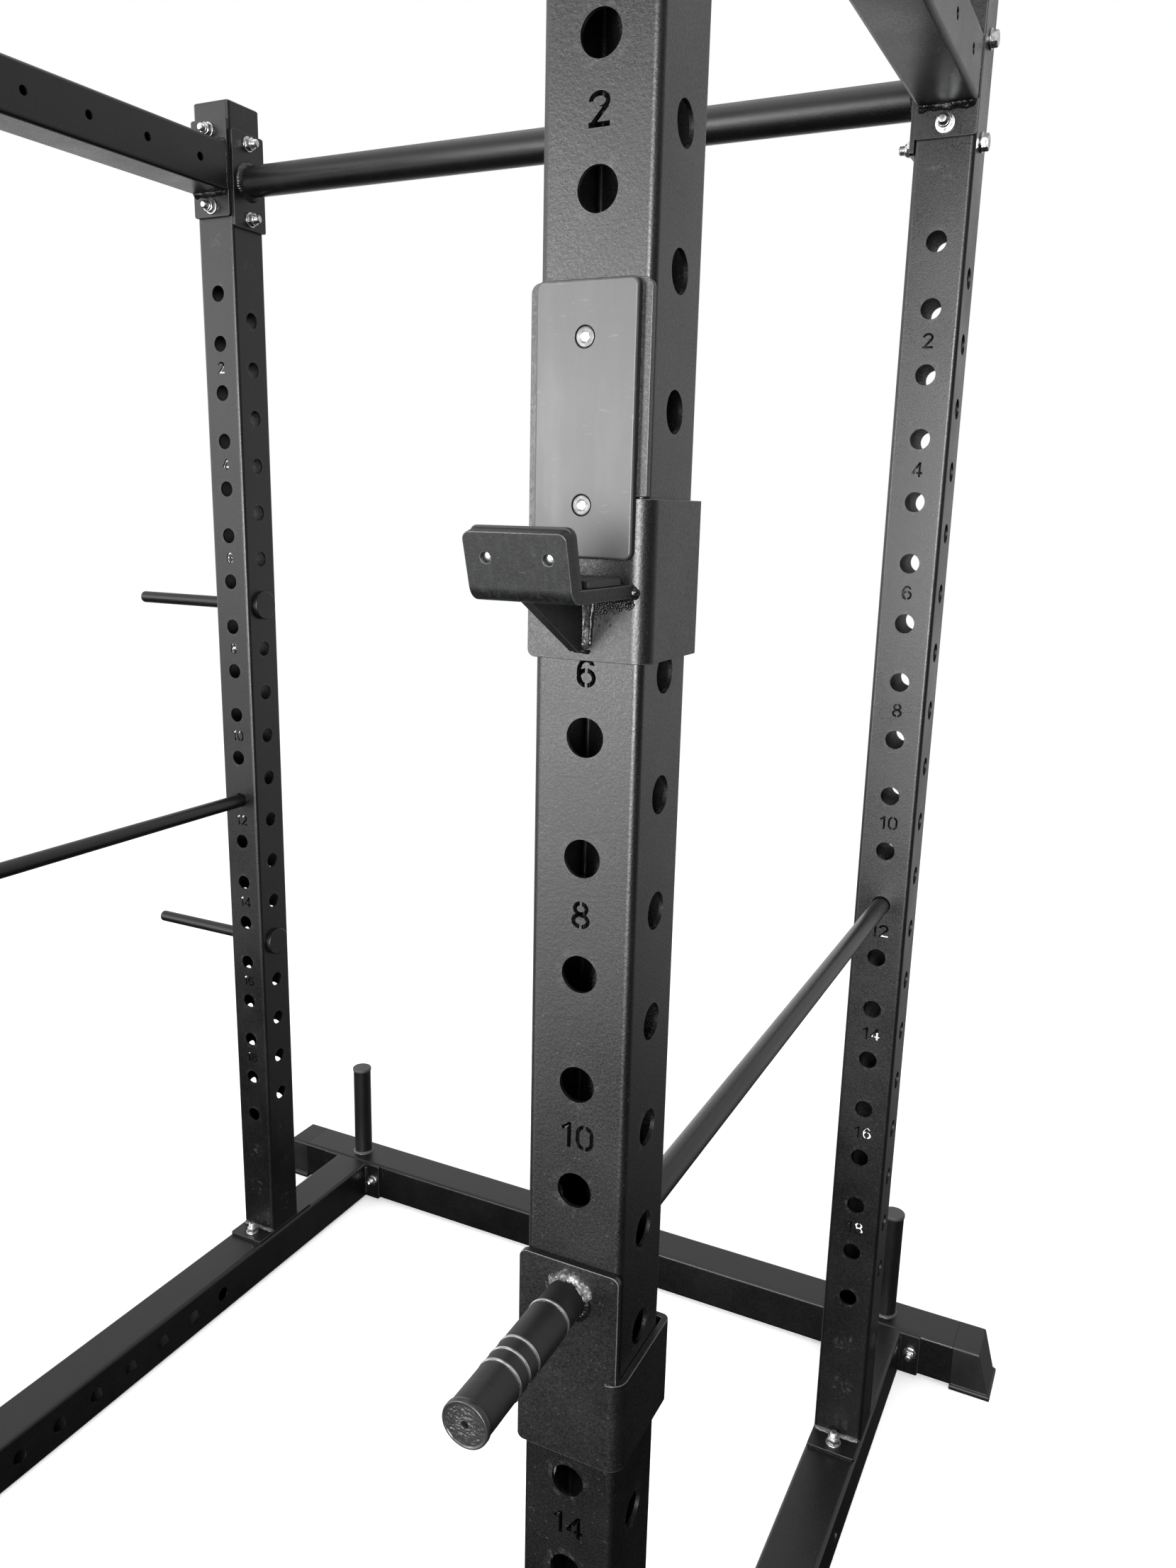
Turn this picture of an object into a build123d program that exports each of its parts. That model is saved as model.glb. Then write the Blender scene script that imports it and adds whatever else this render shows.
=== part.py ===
from build123d import *
import os
from math import atan2, cos, degrees, hypot, radians, sin, tan

os.makedirs("parts", exist_ok=True)

# ---------------------------------------------------------------- driving dimensions (mm)
# Cage layout: X to the right, Y to the back, Z up from the floor.
SPAN_X = 1186.0          # left to right, upright centre to upright centre
SPAN_Y = 971.0           # front to back, upright centre to upright centre
TUBE = 75.0              # uprights and top crossmembers, square
BASE_TUBE = 80.0         # rails and rear beam, square
WALL = 3.0
TUBE_R = 6.0             # outside corner radius of every square tube

PITCH = 80.0             # hole spacing on the uprights
HOLE_D = 26.0
FRONT_HOLES = 20         # through the front and rear walls
SIDE_HOLES = 19          # through the side walls, half a pitch lower
HOLE1_Z = 1862.0         # centre of the top front hole

BASE_Z = 6.0             # underside of the rails and the rear beam
BASE_TOP = BASE_Z + BASE_TUBE
BASE_MID = BASE_Z + BASE_TUBE / 2
PLATE_T = 6.0            # end plates and foot plates
UPRIGHT_Z = BASE_TOP + PLATE_T
UPRIGHT_TOP = HOLE1_Z + 290.0
UPRIGHT_CAP_T = 4.0

FOOT_PLATE_L = 155.0
FOOT_BOLT_OFF = 57.5     # foot bolt, in front of and behind the upright's centre

CROSS_Z = HOLE1_Z + 192.0      # centre of the side crossmembers
BAR_Z = HOLE1_Z + 177.0        # centre of the pull-up bars
BAR_D = 48.3
END_PLATE_L = 148.0
BOLT_OFF = 58.0                # plate bolts, either side of the beam or bar
CROSS_HOLE_D = 13.0
CROSS_HOLE_PITCH = 109.0
CROSS_HOLES = 8

BEAM_FRONT_Y = SPAN_Y / 2 + 270.5    # front face of the rear beam
BEAM_Y = BEAM_FRONT_Y + BASE_TUBE / 2
TUBE_OVERHANG = 130.0    # tube end beyond the nearest upright line
FOOT_TOP_REACH = 175.0   # end foot: top edge, bottom edge and lip beyond that line
FOOT_BASE_REACH = 195.0
FOOT_LIP_REACH = 200.0
FOOT_LIP_T = 10.0
FOOT_LIP_OUT = 3.5
RAIL_PLATE_BOLT_Z = BASE_MID + 4.0
RAIL_HOLE_D = 25.0
RAIL_HOLE_PITCH = 75.0
RAIL_HOLES = 9

PEG_D = 38.0
PEG_TOP = 285.0
PEG_CAP_D = 40.5
PEG_CAP_T = 6.0

BOLT_D = 12.0
BOLT_HOLE_D = 13.0
NUT_AF = 18.0
NUT_T = 10.0
HEAD_T = 7.5
WASHER_D = 24.0
WASHER_T = 2.5
BOLT_TAIL = 8.0          # thread showing beyond the nut

SAFETY_D = 24.0
SAFETY_HOLE = 12
SAFETY_DROP = 0.7        # the bar rests low in its holes
DISC_D = 50.0
DISC_T = 8.0
STORE_PIN_D = 21.0
STORE_PIN_HOLES = (7, 15)
STORE_PIN_DROP = 1.5
STORE_PIN_REACH = 252.0  # pin tip beyond the left upright line

GAP = 0.3                # free gap between a lift-off part and the upright
STEEL_T = 5.0            # bracket plate
FACE = TUBE / 2 + GAP    # inner face of a bracket plate, from the upright's centre
OUTER = FACE + STEEL_T
BEND_R = 12.0            # outside bend radius of the brackets
REAR_BEND_R = 6.0        # the dip bracket's rear bend is nearly sharp
WING_SLIT = 1.0          # relief cut between the front plate and the top of the wing
STUD_D = 24.0
STUD_L = 18.0

# J-hook, heights measured from the top front hole
HOOK_TOP = -209.5
HOOK_WING_TOP = -331.0
HOOK_BOTTOM = -430.5
HOOK_LEFT = -39.5
HOOK_RIGHT = 39.3
HOOK_WING_REAR = 38.5
HOOK_STUD_HOLE = 5
HOOK_X = 1.0             # the hook's middle, right of the upright's centre
SHELF_W = 65.0
SHELF_T = 8.0
SHELF_TOP = -382.3
LIP_FRONT = 134.0        # top front edge of the lip, in front of the upright's centre
LIP_TOP = -352.0
LIP_LEAN = 15.5          # degrees the lip leans outwards
LIP_BEND_R = 11.0
LIP_HOLES = (-18.0, 21.0)
LIP_HOLE_Z = -365.0
LIP_HOLE_D = 6.4
GUSSET_T = 6.0
GUSSET_X = -2.0
GUSSET_REACH = 113.0
GUSSET_TIP = 52.0
GUSSET_BOTTOM = -424.0
LINER_T = 5.5
LINER_LEFT = -33.3
LINER_RIGHT = 32.8
LINER_BOTTOM = -368.0
LIP_LINER_UP = 3.0       # the lip liner stands this far above the steel
SHELF_LINER_T = 5.0
SHELF_LINER_REACH = (101.0, 55.0)
SCREW_D = 11.6
SCREW_X = -0.8
LINER_SCREWS = (-241.3, -336.6)
SHELF_SCREW_D = 9.0
SHELF_SCREW_X = 18.0
SHELF_SCREW_REACH = 78.0

# dip handle, heights measured from the top front hole
DIP_TOP = -855.0
DIP_WING_TOP = -941.0
DIP_BOTTOM = -1014.0
DIP_HOLE = 12
DIP_STUD_HOLE = 13
DIP_LEFT = -40.0
DIP_RIGHT = 38.5
DIP_REAR_IN = 43.5       # inner face of the rear flange, behind the upright's centre
DIP_FLANGE_X = 18.0
GRIP_D = 31.4
GRIP_END = 176.0
GRIP_CAP_D = 33.2
GRIP_CAP_T = 4.5
GRIP_RINGS = (72.5, 114.0, 126.5, 138.5)
RING_W = 1.6

# stencil numbers under the even front holes
DIGIT_H = 19.0
DIGIT_W = 13.5
STROKE = 2.9
BRIDGE = 1.7
DIGIT_STEP = 14.0
NUMBER_DROP = 38.5

# the bounding box is centred on the origin
SHIFT_X = (STORE_PIN_REACH - FOOT_LIP_REACH) / 2
FRONT_MOST = SPAN_Y / 2 + FOOT_LIP_REACH
REAR_MOST = BEAM_FRONT_Y + BASE_TUBE + WASHER_T + HEAD_T
SHIFT_Y = (FRONT_MOST - REAR_MOST) / 2

SIDES = {"left": -1, "right": 1}
ENDS = {"front": -1, "rear": 1}


# ---------------------------------------------------------------- helpers
def save(name, shape):
    solids = [Pos(SHIFT_X, SHIFT_Y, 0) * s for s in shape.solids()]
    out = solids[0] if len(solids) == 1 else Compound(children=solids)
    out.label = name
    export_step(out, f"parts/{name}.step")


def turn(axis):
    return {"X": Rot(0, 90, 0), "Y": Rot(-90, 0, 0), "Z": Rot(0, 0, 0)}[axis]


def rod(diameter, start, end, axis, a=0.0, b=0.0):
    """Round bar along an axis from start to end; a and b are its other two coordinates."""
    shape = turn(axis) * Cylinder(diameter / 2, end - start)
    mid = (start + end) / 2
    place = {"X": Pos(mid, a, b), "Y": Pos(a, mid, b), "Z": Pos(a, b, mid)}[axis]
    return place * shape


def box(x0, x1, y0, y1, z0, z1):
    return Pos((x0 + x1) / 2, (y0 + y1) / 2, (z0 + z1) / 2) * Box(x1 - x0, y1 - y0, z1 - z0)


def square_tube(size, start, end, axis):
    """Hollow square tube along an axis, centred on that axis."""
    section = RectangleRounded(size, size, TUBE_R)
    section -= RectangleRounded(size - 2 * WALL, size - 2 * WALL, TUBE_R - WALL)
    shape = turn(axis) * extrude(section, amount=end - start)
    return {"X": Pos(start, 0, 0), "Y": Pos(0, start, 0), "Z": Pos(0, 0, start)}[axis] * shape


def front_z(n):
    return HOLE1_Z - PITCH * (n - 1)


def side_z(n):
    return front_z(n) - PITCH / 2


def mirrored(shape):
    return mirror(shape, about=Plane.YZ)


# ---------------------------------------------------------------- stencil numbers
def bar(x0, y0, x1, y1, width=STROKE):
    length = hypot(x1 - x0, y1 - y0)
    angle = degrees(atan2(y1 - y0, x1 - x0))
    return Pos((x0 + x1) / 2, (y0 + y1) / 2) * Rot(0, 0, angle) * Rectangle(length, width)


def ring(a, b, y):
    return Pos(0, y) * (Ellipse(a, b) - Ellipse(a - STROKE, b - STROKE))


def block(x0, x1, y0, y1):
    return Pos((x0 + x1) / 2, (y0 + y1) / 2) * Rectangle(x1 - x0, y1 - y0)


def digit(char):
    h = DIGIT_H / 2
    w = DIGIT_W / 2
    if char == "0":
        shape = RectangleRounded(2 * w, 2 * h, w - 0.1)
        shape -= RectangleRounded(2 * (w - STROKE), 2 * (h - STROKE), w - STROKE - 0.1)
        return shape - block(-BRIDGE / 2, BRIDGE / 2, -h, h)
    if char == "1":
        return block(0.6, 0.6 + STROKE, -h, h) + bar(2.0, h - 1.6, -3.6, h - 5.4, 2.4)
    if char == "2":
        bowl = ring(w, 5.4, h - 5.4)
        bowl -= block(-w, w, h - 12.0, h - 5.4) - block(0, w, h - 8.5, h - 5.4)
        leg = bar(4.9, h - 7.6, -w + 2.2, -h + 1.6)
        return bowl + leg + block(-w, w, -h, -h + STROKE)
    if char == "4":
        shape = block(1.6, 1.6 + STROKE, -h, h) + block(-w, w, -h + 3.9, -h + 3.9 + STROKE)
        shape += bar(3.0, h - 0.9, -w + 1.2, -h + 5.4)
        return shape - block(-2.6, -2.6 + BRIDGE, -h, h - 8.0)
    if char == "6":
        tail = ring(w, h, 0) - block(0, w, -h, h - 4.8)
        loop = ring(w, 6.2, -h + 6.2)
        return tail + loop - block(-BRIDGE / 2, BRIDGE / 2, -h, h - 5.5)
    upper = ring(5.7, 5.1, h - 5.1)
    lower = ring(w, 5.5, -h + 5.5)
    slits = block(-BRIDGE / 2, BRIDGE / 2, h - 4.0, h) + block(-BRIDGE / 2, BRIDGE / 2, -h, -h + 4.0)
    return upper + lower - slits


def number_cutter(value, z):
    """The number as a solid that cuts through the front wall, centred at height z."""
    text = str(value)
    first = -DIGIT_STEP * (len(text) - 1) / 2
    face = Plane(origin=(0, -TUBE / 2, z), x_dir=(1, 0, 0), z_dir=(0, -1, 0))
    cutters = [extrude(face * Pos(first + DIGIT_STEP * i, 0) * digit(c), amount=WALL + 1, both=True)
               for i, c in enumerate(text)]
    return cutters


# ---------------------------------------------------------------- fasteners
def hexagon(across_flats, thickness, z0):
    shape = Pos(0, 0, z0) * extrude(RegularPolygon(across_flats / 2, 6, major_radius=False), amount=thickness)
    return shape


def washer_at(z0):
    return Pos(0, 0, z0) * (Pos(0, 0, WASHER_T / 2) * (Cylinder(WASHER_D / 2, WASHER_T)
                                                       - Cylinder(BOLT_HOLE_D / 2, WASHER_T)))


def fastener(grip):
    """Bolt along +Z: bearing faces at 0 (head side) and at grip (nut side)."""
    nut_z = grip + WASHER_T
    shank_end = nut_z + NUT_T + BOLT_TAIL
    shank = Pos(0, 0, (shank_end - WASHER_T) / 2) * Cylinder(BOLT_D / 2, shank_end + WASHER_T)
    shank = chamfer(shank.edges().group_by(Axis.Z)[-1], 1.5)
    head = chamfer(hexagon(NUT_AF, HEAD_T, -WASHER_T - HEAD_T).edges().filter_by(Axis.Z), 0.4)
    bolt = shank + head
    nut = hexagon(NUT_AF, NUT_T, nut_z) - rod(BOLT_D + 0.4, nut_z - 1, nut_z + NUT_T + 1, "Z")
    return {"bolts": bolt, "nuts": nut, "washers": washer_at(-WASHER_T) + washer_at(grip)}


hardware = {"bolts": [], "nuts": [], "washers": []}


def add_fastener(grip, location):
    for kind, shape in fastener(grip).items():
        hardware[kind] += [location * s for s in shape.solids()]


# ---------------------------------------------------------------- uprights
def make_upright():
    shape = square_tube(TUBE, UPRIGHT_Z, UPRIGHT_TOP, "Z")
    reach = TUBE
    cutters = [rod(HOLE_D, -reach, reach, "Y", 0, front_z(n)) for n in range(1, FRONT_HOLES + 1)]
    cutters += [rod(HOLE_D, -reach, reach, "X", 0, side_z(n)) for n in range(1, SIDE_HOLES + 1)]
    for sign in (-1, 1):
        cutters.append(rod(BOLT_HOLE_D, -reach, reach, "Y", 0, CROSS_Z + sign * BOLT_OFF))
        cutters.append(rod(BOLT_HOLE_D, -reach, reach, "X", 0, BAR_Z + sign * BOLT_OFF))
    for n in range(2, FRONT_HOLES, 2):
        cutters += number_cutter(n, front_z(n) - NUMBER_DROP)
    return shape.cut(*[s for c in cutters for s in c.solids()])


def make_foot_plate():
    shape = box(-TUBE / 2, TUBE / 2, -FOOT_PLATE_L / 2, FOOT_PLATE_L / 2, BASE_TOP, UPRIGHT_Z)
    shape = fillet(shape.edges().filter_by(Axis.Z), 4)
    for sign in (-1, 1):
        shape -= rod(BOLT_HOLE_D, BASE_TOP - 1, UPRIGHT_Z + 1, "Z", 0, sign * FOOT_BOLT_OFF)
    return shape


def make_upright_cap():
    cap = box(-TUBE / 2, TUBE / 2, -TUBE / 2, TUBE / 2, UPRIGHT_TOP, UPRIGHT_TOP + UPRIGHT_CAP_T)
    cap = fillet(cap.edges().filter_by(Axis.Z), TUBE_R)
    cap = chamfer(cap.faces().sort_by(Axis.Z)[-1].edges(), 2)
    inner = TUBE / 2 - WALL - GAP
    plug = box(-inner, inner, -inner, inner, UPRIGHT_TOP - 18, UPRIGHT_TOP)
    return cap + fillet(plug.edges().filter_by(Axis.Z), TUBE_R - WALL)


upright = make_upright()
foot_plate = make_foot_plate()
upright_cap = make_upright_cap()
foot_plates = []
upright_caps = []
for side, sx in SIDES.items():
    for end, sy in ENDS.items():
        corner = Pos(sx * SPAN_X / 2, sy * SPAN_Y / 2, 0)
        save(f"upright_{end}_{side}", corner * upright)
        foot_plates.append(corner * foot_plate)
        upright_caps.append(corner * upright_cap)
        for sign in (-1, 1):
            foot_spot = corner * Pos(0, sign * FOOT_BOLT_OFF, BASE_TOP - WALL)
            add_fastener(PLATE_T + WALL, foot_spot)
            cross_spot = corner * Pos(0, sy * TUBE / 2, CROSS_Z + sign * BOLT_OFF)
            add_fastener(TUBE + PLATE_T, cross_spot * Rot(sy * 90, 0, 0))
            bar_spot = corner * Pos(sx * TUBE / 2, 0, BAR_Z + sign * BOLT_OFF)
            add_fastener(TUBE + PLATE_T, bar_spot * Rot(0, -sx * 90, 0))
save("foot_plates", Compound(children=foot_plates))
save("upright_caps", Compound(children=upright_caps))


# ---------------------------------------------------------------- base
def make_end_foot():
    """Plastic end foot of a base tube; the tube runs along -X and ends at TUBE_OVERHANG."""
    half = BASE_TUBE / 2
    profile = Polyline((TUBE_OVERHANG, BASE_Z), (TUBE_OVERHANG, BASE_TOP), (FOOT_TOP_REACH, BASE_TOP),
                       (FOOT_BASE_REACH, FOOT_LIP_T), (FOOT_BASE_REACH, BASE_Z), close=True)
    block_part = extrude(Plane.XZ * make_face(profile), amount=half, both=True)
    top_edges = [e for e in block_part.edges().filter_by(Axis.X) if e.center().Z > BASE_TOP - 1]
    block_part = fillet(top_edges, TUBE_R)
    lip = box(TUBE_OVERHANG, FOOT_LIP_REACH, -half - FOOT_LIP_OUT, half + FOOT_LIP_OUT, 0, FOOT_LIP_T)
    lip = chamfer(lip.faces().sort_by(Axis.Z)[-1].edges(), 3)
    inner = half - WALL - GAP
    plug = box(TUBE_OVERHANG - 40, TUBE_OVERHANG, -inner, inner, BASE_MID - inner, BASE_MID + inner)
    plug = fillet(plug.edges().filter_by(Axis.X), TUBE_R - WALL)
    return block_part + lip + plug


def make_rail():
    rail = square_tube(BASE_TUBE, -SPAN_Y / 2 - TUBE_OVERHANG, BEAM_FRONT_Y - PLATE_T, "Y")
    rail = Pos(0, 0, BASE_MID) * rail
    first = -RAIL_HOLE_PITCH * (RAIL_HOLES - 1) / 2
    cutters = [rod(RAIL_HOLE_D, -BASE_TUBE, BASE_TUBE, "X", first + RAIL_HOLE_PITCH * i, BASE_MID)
               for i in range(RAIL_HOLES)]
    for sy in ENDS.values():
        for sign in (-1, 1):
            y = sy * SPAN_Y / 2 + sign * FOOT_BOLT_OFF
            cutters.append(rod(BOLT_HOLE_D, BASE_MID, BASE_TOP + 1, "Z", 0, y))
    return rail.cut(*cutters)


def make_rail_plate():
    half = END_PLATE_L / 2
    plate = box(-half, half, BEAM_FRONT_Y - PLATE_T, BEAM_FRONT_Y, BASE_Z + 1, BASE_TOP - 1)
    plate = fillet(plate.edges().filter_by(Axis.Y), 4)
    for sign in (-1, 1):
        plate -= rod(BOLT_HOLE_D, BEAM_FRONT_Y - 10, BEAM_FRONT_Y + 1, "Y", sign * BOLT_OFF, RAIL_PLATE_BOLT_Z)
    return plate


def make_beam():
    half = SPAN_X / 2 + TUBE_OVERHANG
    beam = Pos(0, BEAM_Y, BASE_MID) * square_tube(BASE_TUBE, -half, half, "X")
    for sx in SIDES.values():
        for sign in (-1, 1):
            x = sx * SPAN_X / 2 + sign * BOLT_OFF
            beam -= rod(BOLT_HOLE_D, BEAM_FRONT_Y - 1, BEAM_FRONT_Y + BASE_TUBE + 1, "Y", x, RAIL_PLATE_BOLT_Z)
    return beam


def make_peg_cap():
    cap = rod(PEG_CAP_D, PEG_TOP, PEG_TOP + PEG_CAP_T, "Z")
    cap = fillet(cap.edges().group_by(Axis.Z)[-1], 2.5)
    return cap + rod(PEG_D - 2 * WALL - 2 * GAP, PEG_TOP - 20, PEG_TOP, "Z")


end_foot = make_end_foot()
rail = make_rail()
rail_plate = make_rail_plate()
peg_tube = rod(PEG_D, BASE_TOP, PEG_TOP, "Z") - rod(PEG_D - 2 * WALL, BASE_TOP - 1, PEG_TOP + 1, "Z")
peg_cap = make_peg_cap()
rail_plates = []
for side, sx in SIDES.items():
    line = Pos(sx * SPAN_X / 2, 0, 0)
    save(f"base_rail_{side}", line * rail)
    rail_plates.append(line * rail_plate)
    save(f"rail_front_foot_{side}", line * Pos(0, -SPAN_Y / 2, 0) * Rot(0, 0, -90) * end_foot)
    beam_end = Pos(sx * SPAN_X / 2, BEAM_Y, 0) * Rot(0, 0, 0 if sx > 0 else 180)
    save(f"beam_foot_{side}", beam_end * end_foot)
    save(f"band_peg_{side}", line * Pos(0, BEAM_Y, 0) * peg_tube)
    save(f"band_peg_cap_{side}", line * Pos(0, BEAM_Y, 0) * peg_cap)
    for sign in (-1, 1):
        spot = line * Pos(sign * BOLT_OFF, BEAM_FRONT_Y + BASE_TUBE, RAIL_PLATE_BOLT_Z)
        add_fastener(BASE_TUBE + PLATE_T, spot * Rot(90, 0, 0))
save("rail_plates", Compound(children=rail_plates))
save("rear_beam", make_beam())


# ---------------------------------------------------------------- top frame
def make_crossmember():
    half = (SPAN_Y - TUBE) / 2 - PLATE_T
    tube = Pos(0, 0, CROSS_Z) * square_tube(TUBE, -half, half, "Y")
    first = -CROSS_HOLE_PITCH * (CROSS_HOLES - 1) / 2
    cutters = [rod(CROSS_HOLE_D, -TUBE, TUBE, "X", first + CROSS_HOLE_PITCH * i, CROSS_Z)
               for i in range(CROSS_HOLES)]
    return tube.cut(*cutters)


def make_cross_plate(sy):
    face = sy * ((SPAN_Y - TUBE) / 2)
    near, far = sorted((face, face - sy * PLATE_T))
    plate = box(-TUBE / 2, TUBE / 2, near, far, CROSS_Z - END_PLATE_L / 2, CROSS_Z + END_PLATE_L / 2)
    plate = fillet(plate.edges().filter_by(Axis.Y), 4)
    for sign in (-1, 1):
        plate -= rod(BOLT_HOLE_D, near - 1, far + 1, "Y", 0, CROSS_Z + sign * BOLT_OFF)
    return plate


def make_bar_plate(sx):
    face = sx * ((SPAN_X - TUBE) / 2)
    near, far = sorted((face, face - sx * PLATE_T))
    plate = box(near, far, -TUBE / 2, TUBE / 2, BAR_Z - END_PLATE_L / 2, BAR_Z + END_PLATE_L / 2)
    plate = fillet(plate.edges().filter_by(Axis.X), 4)
    for sign in (-1, 1):
        plate -= rod(BOLT_HOLE_D, near - 1, far + 1, "X", 0, BAR_Z + sign * BOLT_OFF)
    return plate


crossmember = make_crossmember()
cross_plates = Compound(children=[make_cross_plate(sy) for sy in ENDS.values()])
for side, sx in SIDES.items():
    save(f"crossmember_{side}", Pos(sx * SPAN_X / 2, 0, 0) * crossmember)
    save(f"crossmember_plates_{side}", Pos(sx * SPAN_X / 2, 0, 0) * cross_plates)

bar_half = (SPAN_X - TUBE) / 2 - PLATE_T
pullup_bar = rod(BAR_D, -bar_half, bar_half, "X", 0, BAR_Z)
pullup_bar -= rod(BAR_D - 2 * WALL, -bar_half - 1, bar_half + 1, "X", 0, BAR_Z)
bar_plates = Compound(children=[make_bar_plate(sx) for sx in SIDES.values()])
for end, sy in ENDS.items():
    save(f"pullup_bar_{end}", Pos(0, sy * SPAN_Y / 2, 0) * pullup_bar)
    save(f"pullup_plates_{end}", Pos(0, sy * SPAN_Y / 2, 0) * bar_plates)

for kind, solids in hardware.items():
    save(f"frame_{kind}", Compound(children=solids))


# ---------------------------------------------------------------- safety bars and storage pins
def make_safety_bar():
    z = front_z(SAFETY_HOLE) - SAFETY_DROP
    front_end = -SPAN_Y / 2 - TUBE / 2 + WALL + 5.0
    rear_face = SPAN_Y / 2 + TUBE / 2 + GAP
    shaft = rod(SAFETY_D, front_end, rear_face, "Y", 0, z)
    shaft = fillet(shaft.edges().group_by(Axis.Y)[0], 3)
    disc = fillet(rod(DISC_D, rear_face, rear_face + DISC_T, "Y", 0, z).edges().group_by(Axis.Y)[-1], 1.5)
    return shaft + disc


def make_storage_pin(hole):
    """Pin through the rear left upright; its head sits on the inner face."""
    z = side_z(hole) - STORE_PIN_DROP
    head_x = -(SPAN_X - TUBE) / 2 + GAP
    shaft = rod(STORE_PIN_D, -SPAN_X / 2 - STORE_PIN_REACH, head_x, "X", SPAN_Y / 2, z)
    shaft = fillet(shaft.edges().group_by(Axis.X)[0], 5)
    disc = rod(DISC_D, head_x, head_x + DISC_T, "X", SPAN_Y / 2, z)
    disc = fillet(disc.edges().group_by(Axis.X)[-1], 1.5)
    return shaft + disc


safety_bar = make_safety_bar()
for side, sx in SIDES.items():
    save(f"safety_bar_{side}", Pos(sx * SPAN_X / 2, 0, 0) * safety_bar)
for label, hole in zip(("upper", "lower"), STORE_PIN_HOLES):
    save(f"storage_pin_{label}", make_storage_pin(hole))


# ---------------------------------------------------------------- bracket plate
def bend(radius, way):
    """Quarter ring of plate towards +X and, for way 1, +Y; for way -1, -Y."""
    quarter = Circle(radius) - Circle(radius - STEEL_T)
    return quarter & Pos(radius / 2, way * radius / 2) * Rectangle(radius, radius)


def bent_plate(left, right, top, wing_top, bottom, wing_rear, flange=None):
    """Front plate whose lower part bends round the outer side of the upright.

    The upright's centre is at X = Y = 0 and the bracket is the right-hand one.
    """
    bend_x = OUTER - BEND_R
    upper = box(left, right, -OUTER, -FACE, HOLE1_Z + wing_top, HOLE1_Z + top)
    upper = fillet(upper.edges().filter_by(Axis.Y).sort_by(Axis.Z)[-2:], 6)
    lower = box(left, bend_x, -OUTER, -FACE, HOLE1_Z + bottom, HOLE1_Z + wing_top)
    corner = [e for e in lower.edges().filter_by(Axis.Y)
              if e.center().X < 0 and e.center().Z < HOLE1_Z + wing_top - 1]
    lower = fillet(corner, 5)
    profile = Pos(bend_x, -OUTER + BEND_R) * bend(BEND_R, -1)
    wing_end = wing_rear
    if flange:
        wing_end = flange + STEEL_T - REAR_BEND_R
        tab_w = OUTER - REAR_BEND_R - DIP_FLANGE_X
        tab = Pos(DIP_FLANGE_X + tab_w / 2, flange + STEEL_T / 2) * Rectangle(tab_w, STEEL_T)
        profile += Pos(OUTER - REAR_BEND_R, wing_end) * bend(REAR_BEND_R, 1)
        profile += tab
    wing_l = wing_end + OUTER - BEND_R
    profile += Pos(FACE + STEEL_T / 2, wing_end - wing_l / 2) * Rectangle(STEEL_T, wing_l)
    wing = Pos(0, 0, HOLE1_Z + bottom) * extrude(profile, amount=wing_top - WING_SLIT - bottom)
    return upper + lower + wing


def locating_stud(z):
    return rod(STUD_D, FACE - STUD_L, FACE + 1, "X", 0, z)


# ---------------------------------------------------------------- J-hook
def lip_line(offset, z):
    """Y of a line parallel to the lip's front face, offset towards the upright, at height z."""
    lean = radians(LIP_LEAN)
    return -LIP_FRONT + offset / cos(lean) + (LIP_TOP - z) * tan(lean)


def lip_corner(offset):
    """Top end of the lip's cross-section, square to its front face."""
    lean = radians(LIP_LEAN)
    return (-LIP_FRONT + offset * cos(lean), LIP_TOP + offset * sin(lean))


def cross_section(points, half):
    """Extrude a YZ outline, heights from the top front hole, to both sides of the hook's middle."""
    face = make_face(Polyline(*points, close=True))
    return Pos(HOOK_X, 0, HOLE1_Z) * extrude(Plane.YZ * face, amount=half, both=True)


def edges_at(shape, y, z):
    """Edges along X through the point y, z."""
    return [e for e in shape.edges().filter_by(Axis.X)
            if abs(e.center().Y - y) < 0.1 and abs(e.center().Z - HOLE1_Z - z) < 0.1]


def drill_lip(shape):
    """Holes square to the lip, through everything fixed to it."""
    y = lip_line(SHELF_T / 2, LIP_HOLE_Z)
    for x in LIP_HOLES:
        drill = Rot(LIP_LEAN, 0, 0) * rod(LIP_HOLE_D, -30, 30, "Y")
        shape -= Pos(x, y, HOLE1_Z + LIP_HOLE_Z) * drill
    return shape


def make_hook_plate():
    """Shelf with a leaning front lip and a gusset below it."""
    under = SHELF_TOP - SHELF_T
    heel = (lip_line(0, under), under)
    throat = (lip_line(SHELF_T, SHELF_TOP), SHELF_TOP)
    shape = cross_section([(-OUTER, under), heel, lip_corner(0), lip_corner(SHELF_T), throat,
                           (-OUTER, SHELF_TOP)], SHELF_W / 2)
    shape = fillet(edges_at(shape, *heel), LIP_BEND_R)
    shape = fillet(edges_at(shape, *throat), LIP_BEND_R - SHELF_T)
    tips = [e for e in shape.edges() if e.length < SHELF_T + 0.1 and abs(e.center().X - HOOK_X) > 30
            and e.center().Z > HOLE1_Z + LIP_TOP]
    shape = drill_lip(fillet(tips, 5))
    web = Polyline((-OUTER, under), (-GUSSET_REACH, under), (-GUSSET_TIP, GUSSET_BOTTOM),
                   (-OUTER, GUSSET_BOTTOM), close=True)
    gusset = Pos(GUSSET_X, 0, HOLE1_Z) * extrude(Plane.YZ * make_face(web), amount=GUSSET_T / 2, both=True)
    return shape + gusset


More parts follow.
